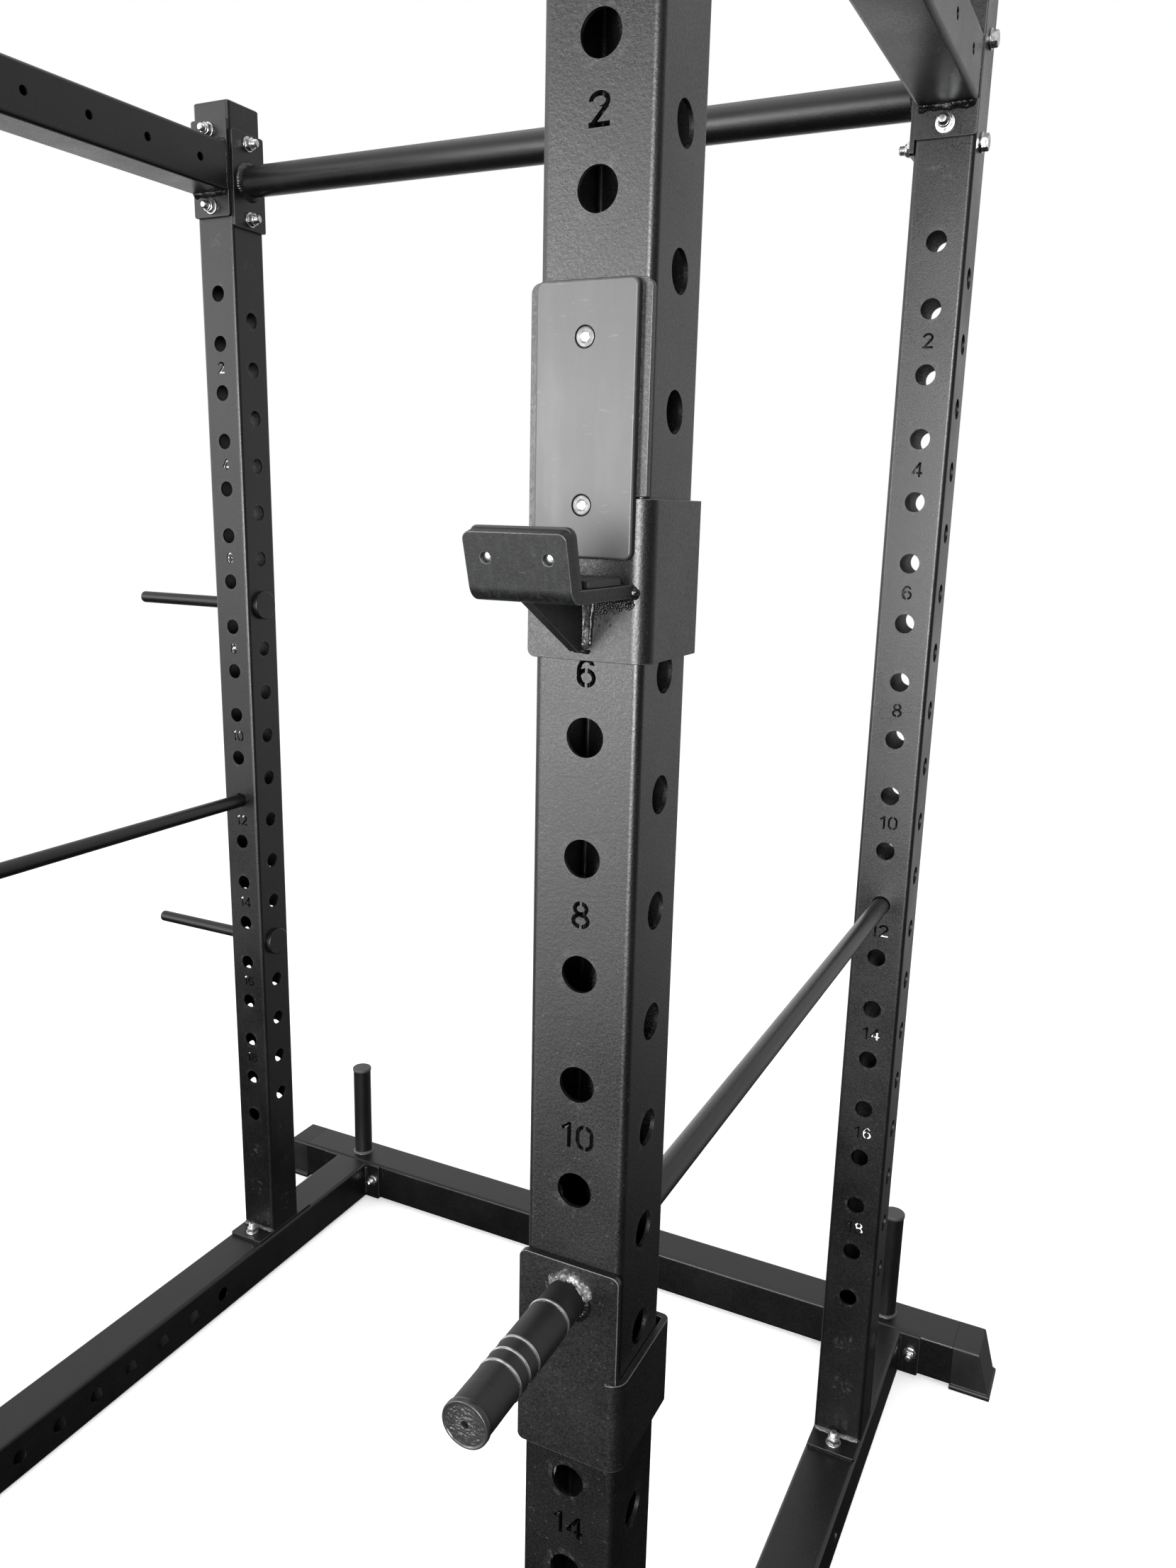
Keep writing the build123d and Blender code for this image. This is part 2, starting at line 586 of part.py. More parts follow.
def make_back_liner():
    liner = box(LINER_LEFT, LINER_RIGHT, -OUTER - LINER_T, -OUTER, HOLE1_Z + LINER_BOTTOM, HOLE1_Z + HOOK_TOP)
    liner = fillet(liner.edges().filter_by(Axis.Y), 5)
    liner = chamfer(liner.faces().sort_by(Axis.Y)[0].edges(), 1.2)
    for z in LINER_SCREWS:
        liner -= rod(SCREW_D + 1.2, -OUTER - LINER_T - 1, -OUTER - LINER_T + 3.2, "Y", SCREW_X, HOLE1_Z + z)
    return liner


def make_shelf_liner():
    top = HOLE1_Z + SHELF_TOP + SHELF_LINER_T
    half = SHELF_W / 2 - 2
    front, rear = SHELF_LINER_REACH
    shape = box(HOOK_X - half, HOOK_X + half, -front, -rear, HOLE1_Z + SHELF_TOP, top)
    shape = fillet(shape.edges().filter_by(Axis.Z).sort_by(Axis.Y)[-2:], 5)
    shape = chamfer(shape.faces().sort_by(Axis.Z)[-1].edges(), 0.8)
    for sign in (-1, 1):
        x = HOOK_X + sign * SHELF_SCREW_X
        shape -= rod(SHELF_SCREW_D + 0.6, top - 3, top + 1, "Z", x, -SHELF_SCREW_REACH)
    return shape


def make_lip_liner():
    inner = SHELF_T + LINER_T
    foot = (lip_line(SHELF_T, SHELF_TOP), SHELF_TOP)
    top_z = LIP_TOP + LIP_LINER_UP + 0.5
    outline = [foot, (lip_line(SHELF_T, top_z), top_z), (lip_line(inner, top_z), top_z),
               (lip_line(inner, SHELF_TOP), SHELF_TOP)]
    shape = cross_section(outline, SHELF_W / 2 - 0.5)
    shape = fillet(edges_at(shape, *foot), LIP_BEND_R - SHELF_T + 0.4)
    tips = [e for e in shape.edges().filter_by(Axis.Y)
            if e.center().Z > HOLE1_Z + LIP_TOP and abs(e.center().X - HOOK_X) > 30]
    shape = fillet(tips, 5)
    return drill_lip(shape)


def make_hook_screws():
    """Countersunk screws with hexagon sockets: two in the back liner, two in the shelf liner."""
    screws = []
    front = -OUTER - LINER_T
    for z in LINER_SCREWS:
        head = rod(SCREW_D, front + 0.3, front + 3, "Y", SCREW_X, HOLE1_Z + z)
        spot = Plane(origin=(SCREW_X, front, HOLE1_Z + z), z_dir=(0, 1, 0))
        socket = spot * RegularPolygon(2.5, 6, major_radius=False)
        screws.append(head - extrude(socket, amount=2.4))
    top = HOLE1_Z + SHELF_TOP + SHELF_LINER_T
    for sign in (-1, 1):
        x = HOOK_X + sign * SHELF_SCREW_X
        head = rod(SHELF_SCREW_D, top - 2.8, top - 0.3, "Z", x, -SHELF_SCREW_REACH)
        socket = Pos(x, -SHELF_SCREW_REACH, top) * RegularPolygon(2, 6, major_radius=False)
        screws.append(head - extrude(socket, amount=-2.2))
    return Compound(children=screws)


hook_bracket = bent_plate(HOOK_LEFT, HOOK_RIGHT, HOOK_TOP, HOOK_WING_TOP, HOOK_BOTTOM, HOOK_WING_REAR)
hook_bracket += locating_stud(side_z(HOOK_STUD_HOLE))
hook_parts = {
    "jhook_bracket": hook_bracket,
    "jhook_hook": make_hook_plate(),
    "jhook_back_liner": make_back_liner(),
    "jhook_shelf_liner": make_shelf_liner(),
    "jhook_lip_liner": make_lip_liner(),
    "jhook_screws": make_hook_screws(),
}


# ---------------------------------------------------------------- dip handle
def make_grip():
    z = front_z(DIP_HOLE)
    shaft = rod(GRIP_D, -GRIP_END, -OUTER, "Y", 0, z)
    for y in GRIP_RINGS:
        groove = rod(GRIP_D + 2, -y - RING_W / 2, -y + RING_W / 2, "Y", 0, z)
        shaft -= groove - rod(GRIP_D - 1.2, -y - RING_W, -y + RING_W, "Y", 0, z)
    return shaft


def make_grip_rings():
    z = front_z(DIP_HOLE)
    rings = []
    for y in GRIP_RINGS:
        outer = rod(GRIP_D + 1.0, -y - RING_W / 2, -y + RING_W / 2, "Y", 0, z)
        rings.append(outer - rod(GRIP_D - 1.2, -y - RING_W, -y + RING_W, "Y", 0, z))
    return Compound(children=rings)


def make_grip_cap():
    z = front_z(DIP_HOLE)
    cap = rod(GRIP_CAP_D, -GRIP_END - GRIP_CAP_T, -GRIP_END, "Y", 0, z)
    cap = fillet(cap.edges().group_by(Axis.Y)[0], 1.0)
    return cap - rod(5, -GRIP_END - GRIP_CAP_T - 1, -GRIP_END - 1, "Y", 0, z)


dip_bracket = bent_plate(DIP_LEFT, DIP_RIGHT, DIP_TOP, DIP_WING_TOP, DIP_BOTTOM, 0, flange=DIP_REAR_IN)
dip_bracket += locating_stud(side_z(DIP_STUD_HOLE))
dip_parts = {
    "dip_bracket": dip_bracket,
    "dip_grip": make_grip(),
    "dip_grip_rings": make_grip_rings(),
    "dip_grip_cap": make_grip_cap(),
}

for name, shape in {**hook_parts, **dip_parts}.items():
    save(f"{name}_right", Pos(SPAN_X / 2, -SPAN_Y / 2, 0) * shape)
    save(f"{name}_left", Pos(-SPAN_X / 2, -SPAN_Y / 2, 0) * mirrored(shape))
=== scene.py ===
import math
import random

import bmesh
import bpy
from mathutils import Matrix, Vector, noise


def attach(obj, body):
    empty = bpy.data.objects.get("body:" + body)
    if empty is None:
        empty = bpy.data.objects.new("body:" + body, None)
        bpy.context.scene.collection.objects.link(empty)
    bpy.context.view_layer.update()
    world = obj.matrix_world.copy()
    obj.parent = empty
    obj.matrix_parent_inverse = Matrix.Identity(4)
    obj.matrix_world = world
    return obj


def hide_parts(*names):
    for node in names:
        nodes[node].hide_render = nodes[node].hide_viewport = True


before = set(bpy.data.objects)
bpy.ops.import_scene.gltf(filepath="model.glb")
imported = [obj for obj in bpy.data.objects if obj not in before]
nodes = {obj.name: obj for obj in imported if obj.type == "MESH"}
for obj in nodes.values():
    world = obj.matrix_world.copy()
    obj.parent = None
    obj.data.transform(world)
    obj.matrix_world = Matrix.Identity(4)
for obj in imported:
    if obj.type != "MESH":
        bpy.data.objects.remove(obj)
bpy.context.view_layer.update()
MM = 0.001
SHIFT = Vector((0.026, -0.08025, 0.0))     # the cage's middle in the row frame, in metres

# ------------------------------------------------------------------ the CAD's sizes, in millimetres
# frame: X and Y from the cage's middle, Z from the floor
SPAN_X = 1186.0                 # between the middles of the left and right uprights
SPAN_Y = 971.0                  # between the middles of the front and rear uprights
TUBE = 75.0
TUBE_R = 6.0
WALL = 3.0
BASE_TUBE = 80.0                # rails and rear beam
BASE_TOP = 86.0
PLATE_T = 6.0
UPRIGHT_Z = 92.0                # bottom of the uprights, on their foot plates
HOLE1 = 1862.0                  # top front hole
PITCH = 80.0
CROSS_Z = 2054.0
BAR_Z = 2039.0                  # pull-up bars
BAR_D = 48.3
BOLT_OFF = 58.0                 # from the middle of a bolted plate to its bolts
FOOT_BOLT_OFF = 57.5
BEAM_FRONT_Y = 756.0
BEAM_Y = 796.0
RAIL_BOLT_Z = 50.0
PEG_R = 19.0
OUTER = 42.8                    # from an upright's middle to the front of a bracket
# barbell hook: X and Y from its upright's middle, Z from the top hole
HOOK_X = 1.0
SHELF_TOP = -382.3
SHELF_T = 8.0
SHELF_RIGHT = 33.0
SHELF_LEFT = -31.0
GUSSET_X = -2.0
GUSSET_T = 6.0
GUSSET_BOTTOM = -424.0
LINER_T = 5.5
LINER_SCREW_X = -0.8
LINER_SCREW_Z = (-241.3, -336.6)
LINER_SCREW_R = 5.8
SHELF_SCREW_X = 18.0
SHELF_SCREW_Y = -78.0
SHELF_SCREW_LIFT = 4.7          # above the shelf
SHELF_SCREW_R = 4.5
LIP_HOLE_X = (-18.0, 21.0)
LIP_HOLE_Z = -365.0
LIP_LEAN = 15.5                 # degrees from upright
LIP_FRONT = 134.0
LIP_TOP = -352.0
# dip handle: reaches are measured forwards from its upright's middle
DIP_Z = 982.0
GRIP_R = 15.7
GRIP_END = 176.0
GRIP_SMOOTH = 158.0             # the texture is fainter beyond this reach
GRIP_CAP_T = 4.5
GRIP_RINGS = (72.5, 114.0, 126.5, 138.5)


# ------------------------------------------------------------------ node helpers
class Mat:
    """A small wrapper round a material's node tree."""

    def __init__(self, name):
        self.mat = bpy.data.materials.new(name)
        self.mat.use_nodes = True
        self.tree = self.mat.node_tree
        self.bsdf = self.tree.nodes["Principled BSDF"]
        self.coords = self.tree.nodes.new("ShaderNodeTexCoord").outputs["Object"]

    def node(self, kind, **values):
        made = self.tree.nodes.new(kind)
        for key, value in values.items():
            if key in made.inputs:
                self.put(made.inputs[key], value)
            else:
                setattr(made, key, value)
        return made

    def put(self, socket, value):
        if isinstance(value, bpy.types.NodeSocket):
            self.tree.links.new(value, socket)
        else:
            socket.default_value = value

    def math(self, op, a, b=0.0, clamp=False):
        made = self.tree.nodes.new("ShaderNodeMath")
        made.operation = op
        made.use_clamp = clamp
        self.put(made.inputs[0], a)
        self.put(made.inputs[1], b)
        return made.outputs[0]

    def noise(self, scale, detail=2.0, rough=0.5, stretch=None, distortion=0.0):
        vector = self.coords
        if stretch:
            vector = self.node("ShaderNodeVectorMath", operation="MULTIPLY").outputs[0]
            self.put(vector.node.inputs[0], self.coords)
            self.put(vector.node.inputs[1], stretch)
        made = self.node("ShaderNodeTexNoise", Scale=scale, Detail=detail, Roughness=rough,
                         Distortion=distortion)
        self.put(made.inputs["Vector"], vector)
        return made.outputs["Fac"]

    def ramp(self, value, low, high, to_low=0.0, to_high=1.0):
        made = self.node("ShaderNodeMapRange")
        made.interpolation_type = "SMOOTHSTEP"
        for socket, v in zip(("Value", "From Min", "From Max", "To Min", "To Max"),
                             (value, low, high, to_low, to_high)):
            self.put(made.inputs[socket], v)
        return made.outputs["Result"]

    def mix(self, factor, a, b):
        made = self.tree.nodes.new("ShaderNodeMix")
        made.data_type = "RGBA"
        self.put(made.inputs["Factor"], factor)
        for socket, v in (("A", a), ("B", b)):
            target = [s for s in made.inputs if s.name == socket and s.type == "RGBA"][0]
            self.put(target, v)
        return [s for s in made.outputs if s.type == "RGBA"][0]

    def bump(self, height, strength, distance, normal=None):
        made = self.node("ShaderNodeBump", Strength=strength, Distance=distance, Height=height)
        if normal:
            self.put(made.inputs["Normal"], normal)
        return made.outputs["Normal"]

    def set(self, **values):
        names = {"color": "Base Color", "rough": "Roughness", "metal": "Metallic",
                 "normal": "Normal", "spec": "Specular IOR Level"}
        for key, value in values.items():
            self.put(self.bsdf.inputs[names[key]], value)
        return self.mat

    def xyz(self, vector):
        made = self.node("ShaderNodeSeparateXYZ")
        self.put(made.inputs[0], vector)
        return made.outputs

    def facing(self):
        """Components of the surface's normal."""
        return self.xyz(self.node("ShaderNodeNewGeometry").outputs["Normal"])

    def blend_in(self, amount, mask, under, over):
        return self.mix(self.math("MULTIPLY", mask, amount), under, over)


def grey(value, tint=(1.0, 1.0, 1.0)):
    return (value * tint[0], value * tint[1], value * tint[2], 1.0)


# ------------------------------------------------------------------ materials
def powder_coat(name, base=0.0015, rough=0.34):
    """Satin black powder coat: fine orange peel, faint mottling, tiny pale specks."""
    m = Mat(name)
    mottle = m.noise(38.0, 4.0, 0.6)
    broad = m.noise(7.0, 3.0, 0.55)
    grain = m.noise(950.0, 2.0, 0.6)
    pits = m.noise(640.0, 3.0, 0.7)
    specks = m.ramp(m.noise(420.0, 1.0, 0.4), 0.70, 0.78)
    tone = m.mix(m.ramp(mottle, 0.3, 0.75), grey(base * 0.75), grey(base * 1.45))
    tone = m.blend_in(0.30, specks, tone, grey(0.06))
    tone = m.blend_in(0.35, m.ramp(grain, 0.35, 0.75), tone, grey(base * 2.4 + 0.001))
    roughness = m.math("ADD", m.ramp(broad, 0.25, 0.75, rough - 0.05, rough + 0.05),
                       m.ramp(pits, 0.3, 0.7, -0.06, 0.08))
    peel = m.bump(m.noise(480.0, 4.0, 0.62), 0.75, 0.00024)
    normal = m.bump(grain, 0.35, 0.00006, peel)
    return m, tone, roughness, normal


def make_powder(name, **look):
    m, tone, roughness, normal = powder_coat(name, **look)
    return m.set(color=tone, rough=roughness, normal=normal)


def make_dusty_coat(name):
    """Powder coat with a dry, vertically streaked film of dust."""
    m, tone, roughness, normal = powder_coat(name, base=0.002, rough=0.46)
    film = m.ramp(m.noise(260.0, 5.0, 0.7, stretch=(1.0, 1.0, 0.35)), 0.42, 0.72)
    tone = m.blend_in(0.45, film, tone, (0.013, 0.016, 0.018, 1.0))
    roughness = m.math("ADD", roughness, m.math("MULTIPLY", film, 0.08))
    return m.set(color=tone, rough=roughness, normal=normal, spec=0.34)


def make_upright_coat():
    """Powder coat with handling marks round the holes of the uprights."""
    m, tone, roughness, normal = powder_coat("upright_powder_coat")
    x, y, z = m.xyz(m.coords)
    facing = m.facing()
    pitch, first = PITCH * MM, HOLE1 * MM

    def from_tube(value, middle, span):
        """Distance across the face from the middle line of the nearer upright."""
        from_cage = m.math("ABSOLUTE", m.math("SUBTRACT", value, middle))
        return m.math("SUBTRACT", from_cage, span / 2 * MM)

    local_x = from_tube(x, SHIFT.x, SPAN_X)
    local_y = from_tube(y, SHIFT.y, SPAN_Y)
    marks = None
    for across, axis, offset in ((local_x, 1, 0.0), (local_y, 0, pitch / 2)):
        along = m.math("ADD", z, pitch / 2 - first + offset + 40 * pitch)
        along = m.math("SUBTRACT", m.math("MODULO", along, pitch), pitch / 2)
        squares = m.math("ADD", m.math("MULTIPLY", across, across),
                         m.math("MULTIPLY", along, along))
        ring = m.ramp(m.math("SQRT", squares), 0.0130, 0.0215, 1.0, 0.0)
        on_face = m.ramp(m.math("ABSOLUTE", facing[axis]), 0.8, 0.9)
        ring = m.math("MULTIPLY", ring, on_face)
        marks = ring if marks is None else m.math("MAXIMUM", marks, ring)
    patches = m.ramp(m.noise(95.0, 4.0, 0.65, distortion=1.2), 0.50, 0.72)
    rubbed = m.math("MULTIPLY", marks, patches)
    tone = m.blend_in(0.30, rubbed, tone, grey(0.075))
    roughness = m.math("ADD", roughness, m.math("MULTIPLY", rubbed, 0.06))
    return m.set(color=tone, rough=roughness, normal=normal)


def make_plastic(name, base, rough, grain_scale, grain):
    """Moulded plastic or rubber with soft clouds and a fine grain."""
    m = Mat(name)
    cloud = m.noise(24.0, 4.0, 0.6)
    tone = m.mix(m.ramp(cloud, 0.3, 0.7), grey(base * 0.88), grey(base * 1.12))
    roughness = m.ramp(cloud, 0.25, 0.75, rough - 0.05, rough + 0.05)
    normal = m.bump(m.noise(grain_scale, 3.0, 0.6), grain, 0.0001)
    return m.set(color=tone, rough=roughness, normal=normal)


def make_liner():
    """Satin grey wear plastic: soft clouds, vertical rub marks, a few fine scratches and painted
    shade on its thin sides.
    """
    m = Mat("liner_plastic")
    cloud = m.noise(13.0, 4.0, 0.62)
    rub = m.noise(46.0, 5.0, 0.7, stretch=(1.0, 1.0, 0.22))
    fine = m.noise(900.0, 2.0, 0.5)
    scratch = m.ramp(m.noise(120.0, 2.0, 0.6, stretch=(0.25, 1.0, 1.0), distortion=2.0),
                     0.655, 0.70)
    tone = m.mix(m.ramp(cloud, 0.28, 0.72), grey(0.024, (1.0, 1.01, 1.0)),
                 grey(0.038, (1.0, 1.01, 0.99)))
    tone = m.blend_in(0.55, m.ramp(rub, 0.45, 0.75), tone, grey(0.056))
    tone = m.blend_in(0.25, scratch, tone, grey(0.12))
    # the thin sides of the plate are painted darker than its face: a painted shade
    side_shade = m.ramp(m.math("ABSOLUTE", m.facing()[1]), 0.25, 0.75, 1.0, 0.0)
    tone = m.mix(side_shade, tone, grey(0.003))
    roughness = m.math("ADD", m.ramp(cloud, 0.25, 0.75, 0.34, 0.43),
                       m.ramp(rub, 0.3, 0.75, -0.03, 0.06))
    roughness = m.math("ADD", roughness, m.math("MULTIPLY", side_shade, 0.25))
    normal = m.bump(fine, 0.2, 0.00004, m.bump(m.noise(180.0, 3.0, 0.6), 0.12, 0.0001))
    return m.set(color=tone, rough=roughness, normal=normal)


def make_zinc(name, base=0.62, rough=0.24):
    """Bright zinc or steel with faint stains."""
    m = Mat(name)
    stain = m.noise(210.0, 4.0, 0.65)
    tone = m.mix(m.ramp(stain, 0.35, 0.7), grey(base, (0.98, 1.0, 1.02)),
                 grey(base * 0.72, (1.02, 1.0, 0.96)))
    roughness = m.ramp(stain, 0.3, 0.75, rough - 0.06, rough + 0.14)
    normal = m.bump(m.noise(1400.0, 2.0, 0.5), 0.12, 0.00004)
    return m.set(color=tone, rough=roughness, metal=1.0, normal=normal)


def make_weld(name, base, rough, metal):
    """Bright weld-metal colour with burnt and sooty patches."""
    m = Mat(name)
    burn = m.noise(330.0, 4.0, 0.65)
    soot = m.ramp(m.noise(130.0, 4.0, 0.7, distortion=1.5), 0.40, 0.56)
    tone = m.mix(m.ramp(burn, 0.34, 0.56), grey(base * 0.25), grey(base))
    tone = m.mix(soot, grey(base * 0.14), tone)
    roughness = m.ramp(burn, 0.3, 0.7, rough + 0.12, rough - 0.08)
    normal = m.bump(m.noise(900.0, 3.0, 0.6), 0.5, 0.00012)
    return m.set(color=tone, rough=roughness, metal=metal, normal=normal)


MATS = {
    "upright": make_upright_coat(),
    "powder": make_powder("powder_coat"),
    "hook": make_powder("hook_powder_coat", base=0.002, rough=0.37),
    "lip": make_dusty_coat("lip_powder_coat"),
    # paler coats for the rounded edges: painted highlights along them
    "edge": make_powder("worn_edge", base=0.030, rough=0.34),
    "dip_edge": make_powder("worn_dip_edge", base=0.05, rough=0.38),
    "tube": make_powder("bar_coat", base=0.002, rough=0.34),
    "plastic": make_plastic("black_plastic", 0.003, 0.46, 420.0, 0.25),
    "insert": make_plastic("insert_plastic", 0.005, 0.50, 300.0, 0.2),
    "cap": make_plastic("cap_plastic", 0.035, 0.5, 300.0, 0.2),
    "liner": make_liner(),
    "zinc": make_zinc("zinc_plate"),
    "steel": make_zinc("ring_steel", 0.55, 0.30),
    "grip": make_plastic("grip_rubber", 0.004, 0.47, 900.0, 0.9),
    "grip_cap": make_plastic("grip_end_plastic", 0.014, 0.34, 520.0, 0.8),
    "screw": make_zinc("screw_zinc", 0.125, 0.40),
    # bright weld metal for the upper part of the dip handle's bead
    "raw_weld": make_weld("raw_weld", 0.20, 0.40, 0.35),
    # brighter weld-metal colour for the gusset's bead: a painted highlight
    "gusset_weld": make_weld("gusset_weld", 0.055, 0.42, 0.25),
    "bare": make_zinc("bare_steel", 0.75, 0.35),
    "painted_weld": make_powder("painted_weld", base=0.002, rough=0.34),
    # the foot and peg beads get a paler coat than the other painted beads: a painted highlight
    "foot_weld": make_powder("foot_weld_coat", base=0.03, rough=0.34),
}


def material_for(name):
    rules = (("upright_caps", "plastic"), ("upright_", "upright"), ("foot_left", "plastic"),
             ("foot_right", "plastic"), ("band_peg_cap", "cap"), ("band_peg", "tube"),
             ("pullup_bar", "tube"), ("safety_bar", "tube"), ("storage_pin", "tube"),
             ("frame_", "zinc"), ("jhook_screws", "zinc"), ("jhook_back_liner", "liner"),
             ("jhook_shelf_liner", "insert"), ("jhook_lip_liner", "insert"), ("jhook_hook", "lip"),
             ("jhook_bracket", "hook"), ("dip_bracket", "hook"), ("dip_grip_rings", "steel"),
             ("dip_grip_cap", "grip"), ("dip_grip", "grip"))
    for key, mat in rules:
        if key in name:
            return MATS[mat]
    return MATS["powder"]


for node_name, obj in nodes.items():
    obj.data.materials.clear()
    obj.data.materials.append(material_for(node_name))


# width of the rounded edges in millimetres; tubes full of holes keep the edges of the CAD
EDGE = {"crossmember_plates": 0.6, "pullup_plates": 0.6, "rail_plates": 0.6, "foot_plates": 0.6,
        "jhook_bracket": 0.6, "jhook_hook": 0.5, "jhook_lip_liner": 0.6,
        "jhook_shelf_liner": 0.6, "jhook_back_liner": 0.5, "dip_bracket": 0.5,
        "foot_left": 1.2, "foot_right": 1.2, "band_peg_": 0.4,
        "upright_": 0.0, "crossmember_": 0.0, "base_rail": 0.0, "rear_beam": 0.0}
HIGHLIGHT_EDGED = ("plates", "bracket", "jhook_hook")      # their rounded edges get a paler coat: a painted highlight
JOIN_DISTANCE = 0.002                           # millimetres
FLAT_ANGLE = math.radians(0.4)
EDGE_ANGLE = math.radians(40)


def soften(obj, width):
    """Merges flat triangles, rounds the sharp edges and weights the normals by face area."""
    if width:
        join = obj.modifiers.new("join", "WELD")
        join.merge_threshold = JOIN_DISTANCE * MM
    merge = obj.modifiers.new("merge", "DECIMATE")
    merge.decimate_type = "DISSOLVE"
    merge.angle_limit = FLAT_ANGLE
    if width:
        edge = obj.modifiers.new("edge", "BEVEL")
        edge.width = width * MM
        edge.segments = 2
        edge.limit_method = "ANGLE"
        edge.angle_limit = EDGE_ANGLE
        edge.use_clamp_overlap = False
        # the rounded edges of these parts get a paler coat: a painted highlight
        if any(key in obj.name for key in HIGHLIGHT_EDGED):
            highlight_key = "dip_edge" if "dip_bracket" in obj.name else "edge"
            obj.data.materials.append(MATS[highlight_key])
            edge.material = 1
    shade = obj.modifiers.new("shade", "WEIGHTED_NORMAL")
    shade.keep_sharp = False


for node_name, obj in nodes.items():
    for key, width in EDGE.items():
        if key in node_name and "caps" not in node_name:
            soften(obj, width)
            break


# ------------------------------------------------------------------ mesh building
AROUND = 48
AXIS_R = 0.05       # a profile closes this near to its axis, in millimetres


def row(x, y, z):
    """Millimetres from the cage's middle to metres in the row frame."""
    return Vector((x * MM, y * MM, z * MM)) + SHIFT


class Build:
    """Collects rings of points into one mesh."""

    def __init__(self):
        self.verts = []
        self.faces = []

    def grid(self, rings, closed=False):
        """Joins rings of equally many points; the ends are closed with one face each, or joined."""
        start = len(self.verts)
        count = len(rings[0])
        for points in rings:
            self.verts += [tuple(p) for p in points]
        for i in range(len(rings) if closed else len(rings) - 1):
            a = start + i * count
            b = start + (i + 1) % len(rings) * count
            for k in range(count):
                n = (k + 1) % count
                self.faces.append((a + k, a + n, b + n, b + k))
        if not closed:
            self.faces.append(tuple(start + k for k in reversed(range(count))))
            last = start + (len(rings) - 1) * count
            self.faces.append(tuple(last + k for k in range(count)))

    def lathe(self, profile, place, around=AROUND, closed=False):
        """Turns a profile round the local Z axis of place. A profile item is a pair, radius and
        height in millimetres, or a function of the angle that gives one."""
        rings = []
        for item in profile:
            ring = []
            for k in range(around):
                angle = 2 * math.pi * k / around
                radius, height = item(angle) if callable(item) else item
                local = Vector((radius * math.cos(angle), radius * math.sin(angle), height)) * MM
                ring.append(place @ local)
            rings.append(ring)
        self.grid(rings, closed)

    def piece(self, name, mat, body, slot, replaced=(), sharp=35.0):
        mesh = bpy.data.meshes.new(name)
        mesh.from_pydata(self.verts, [], self.faces)
        bm = bmesh.new()
        bm.from_mesh(mesh)
        bmesh.ops.recalc_face_normals(bm, faces=bm.faces)
        bm.to_mesh(mesh)
        bm.free()
        mesh.polygons.foreach_set("use_smooth", [True] * len(mesh.polygons))
        mesh.set_sharp_from_angle(angle=math.radians(sharp))
        mesh.materials.append(mat)
        obj = bpy.data.objects.new(name, mesh)
        bpy.context.scene.collection.objects.link(obj)
        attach(obj, body)
        if replaced:
            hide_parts(*replaced)
        return obj


def place_along(spot, direction, spin=0.0):
    """Matrix that puts local Z along a direction at a spot given in row-frame metres."""
    turn = Vector(direction).to_track_quat("Z", "Y").to_matrix().to_4x4()
    return Matrix.Translation(spot) @ turn @ Matrix.Rotation(spin, 4, "Z")


def hex_radius(flats, angle):
    """Distance from the middle to the side of a hexagon of that width across its flats."""
    return flats / 2 / math.cos((angle + math.pi / 6) % (math.pi / 3) - math.pi / 6)


# ------------------------------------------------------------------ fasteners
HEX_AF = 18.0           # across the flats of bolt heads and nuts
CHAMFER_R = 8.75
SLOPE = math.tan(math.radians(28))
BOLT_R = 6.0
HEAD_TOP = -10.0        # heights from the bearing face, towards the thread
HEAD_BASE = -2.5
WASHER_T = 2.5
HEX_H = 7.3             # hexagon of the nut, below its locking collar
NUT_H = 10.0
THREAD = 1.75           # pitch
THREAD_DEPTH = 0.75
THREAD_STEPS = 5        # rings to a turn
TAIL = 8.0              # bolt end beyond the nut
FASTENER_SEED = 11


def hex_ring(height, way):
    """Edge where the round chamfer of a hexagon meets its flats."""
    def at(angle):
        radius = hex_radius(HEX_AF, angle)
        return (radius, height + way * (radius - CHAMFER_R) * SLOPE)
    return at


def thread_ring(height, base):
    def at(angle):
        turn = (height / THREAD - angle / (2 * math.pi)) % 1.0
        return (base - THREAD_DEPTH * (1 - abs(2 * turn - 1)), height)
    return at


def add_bolt(build, place, grip):
    end = grip + WASHER_T + NUT_H + TAIL
    profile = [(AXIS_R, HEAD_TOP + 0.45), (4.6, HEAD_TOP + 0.4), (5.2, HEAD_TOP),
               (CHAMFER_R - 0.2, HEAD_TOP), hex_ring(HEAD_TOP, 1),
               lambda a: (hex_radius(HEX_AF, a), HEAD_BASE - 0.2),
               (CHAMFER_R, HEAD_BASE), (BOLT_R, HEAD_BASE), (BOLT_R, 0.0)]
    start = grip + WASHER_T + 8.6
    run = end - 1.3 - start
    steps = int(run / (THREAD / THREAD_STEPS))
    profile += [thread_ring(start + run * i / steps, BOLT_R) for i in range(steps + 1)]
    profile += [(4.9, end - 0.75), (4.3, end - 0.15), (3.4, end), (AXIS_R, end)]
    build.lathe(profile, place)


def add_nut(build, place, grip):
    z = grip + WASHER_T
    profile = [(6.15, z), (CHAMFER_R - 0.2, z), hex_ring(z, 1), hex_ring(z + HEX_H, -1),
               (CHAMFER_R - 0.2, z + HEX_H), (8.1, z + HEX_H + 0.05), (7.9, z + HEX_H + 0.3),
               (7.9, z + 8.7), (7.65, z + 9.4), (7.15, z + 9.85), (6.7, z + NUT_H),
               (6.3, z + 9.8), (6.15, z + 9.3)]
    build.lathe(profile, place, closed=True)


def add_washer(build, place, z):
    profile = [(6.5, z), (11.7, z), (12.0, z + 0.35), (12.0, z + 1.8), (11.75, z + 2.3),
               (11.2, z + WASHER_T), (6.9, z + WASHER_T), (6.5, z + 2.3)]
    build.lathe(profile, place, closed=True)


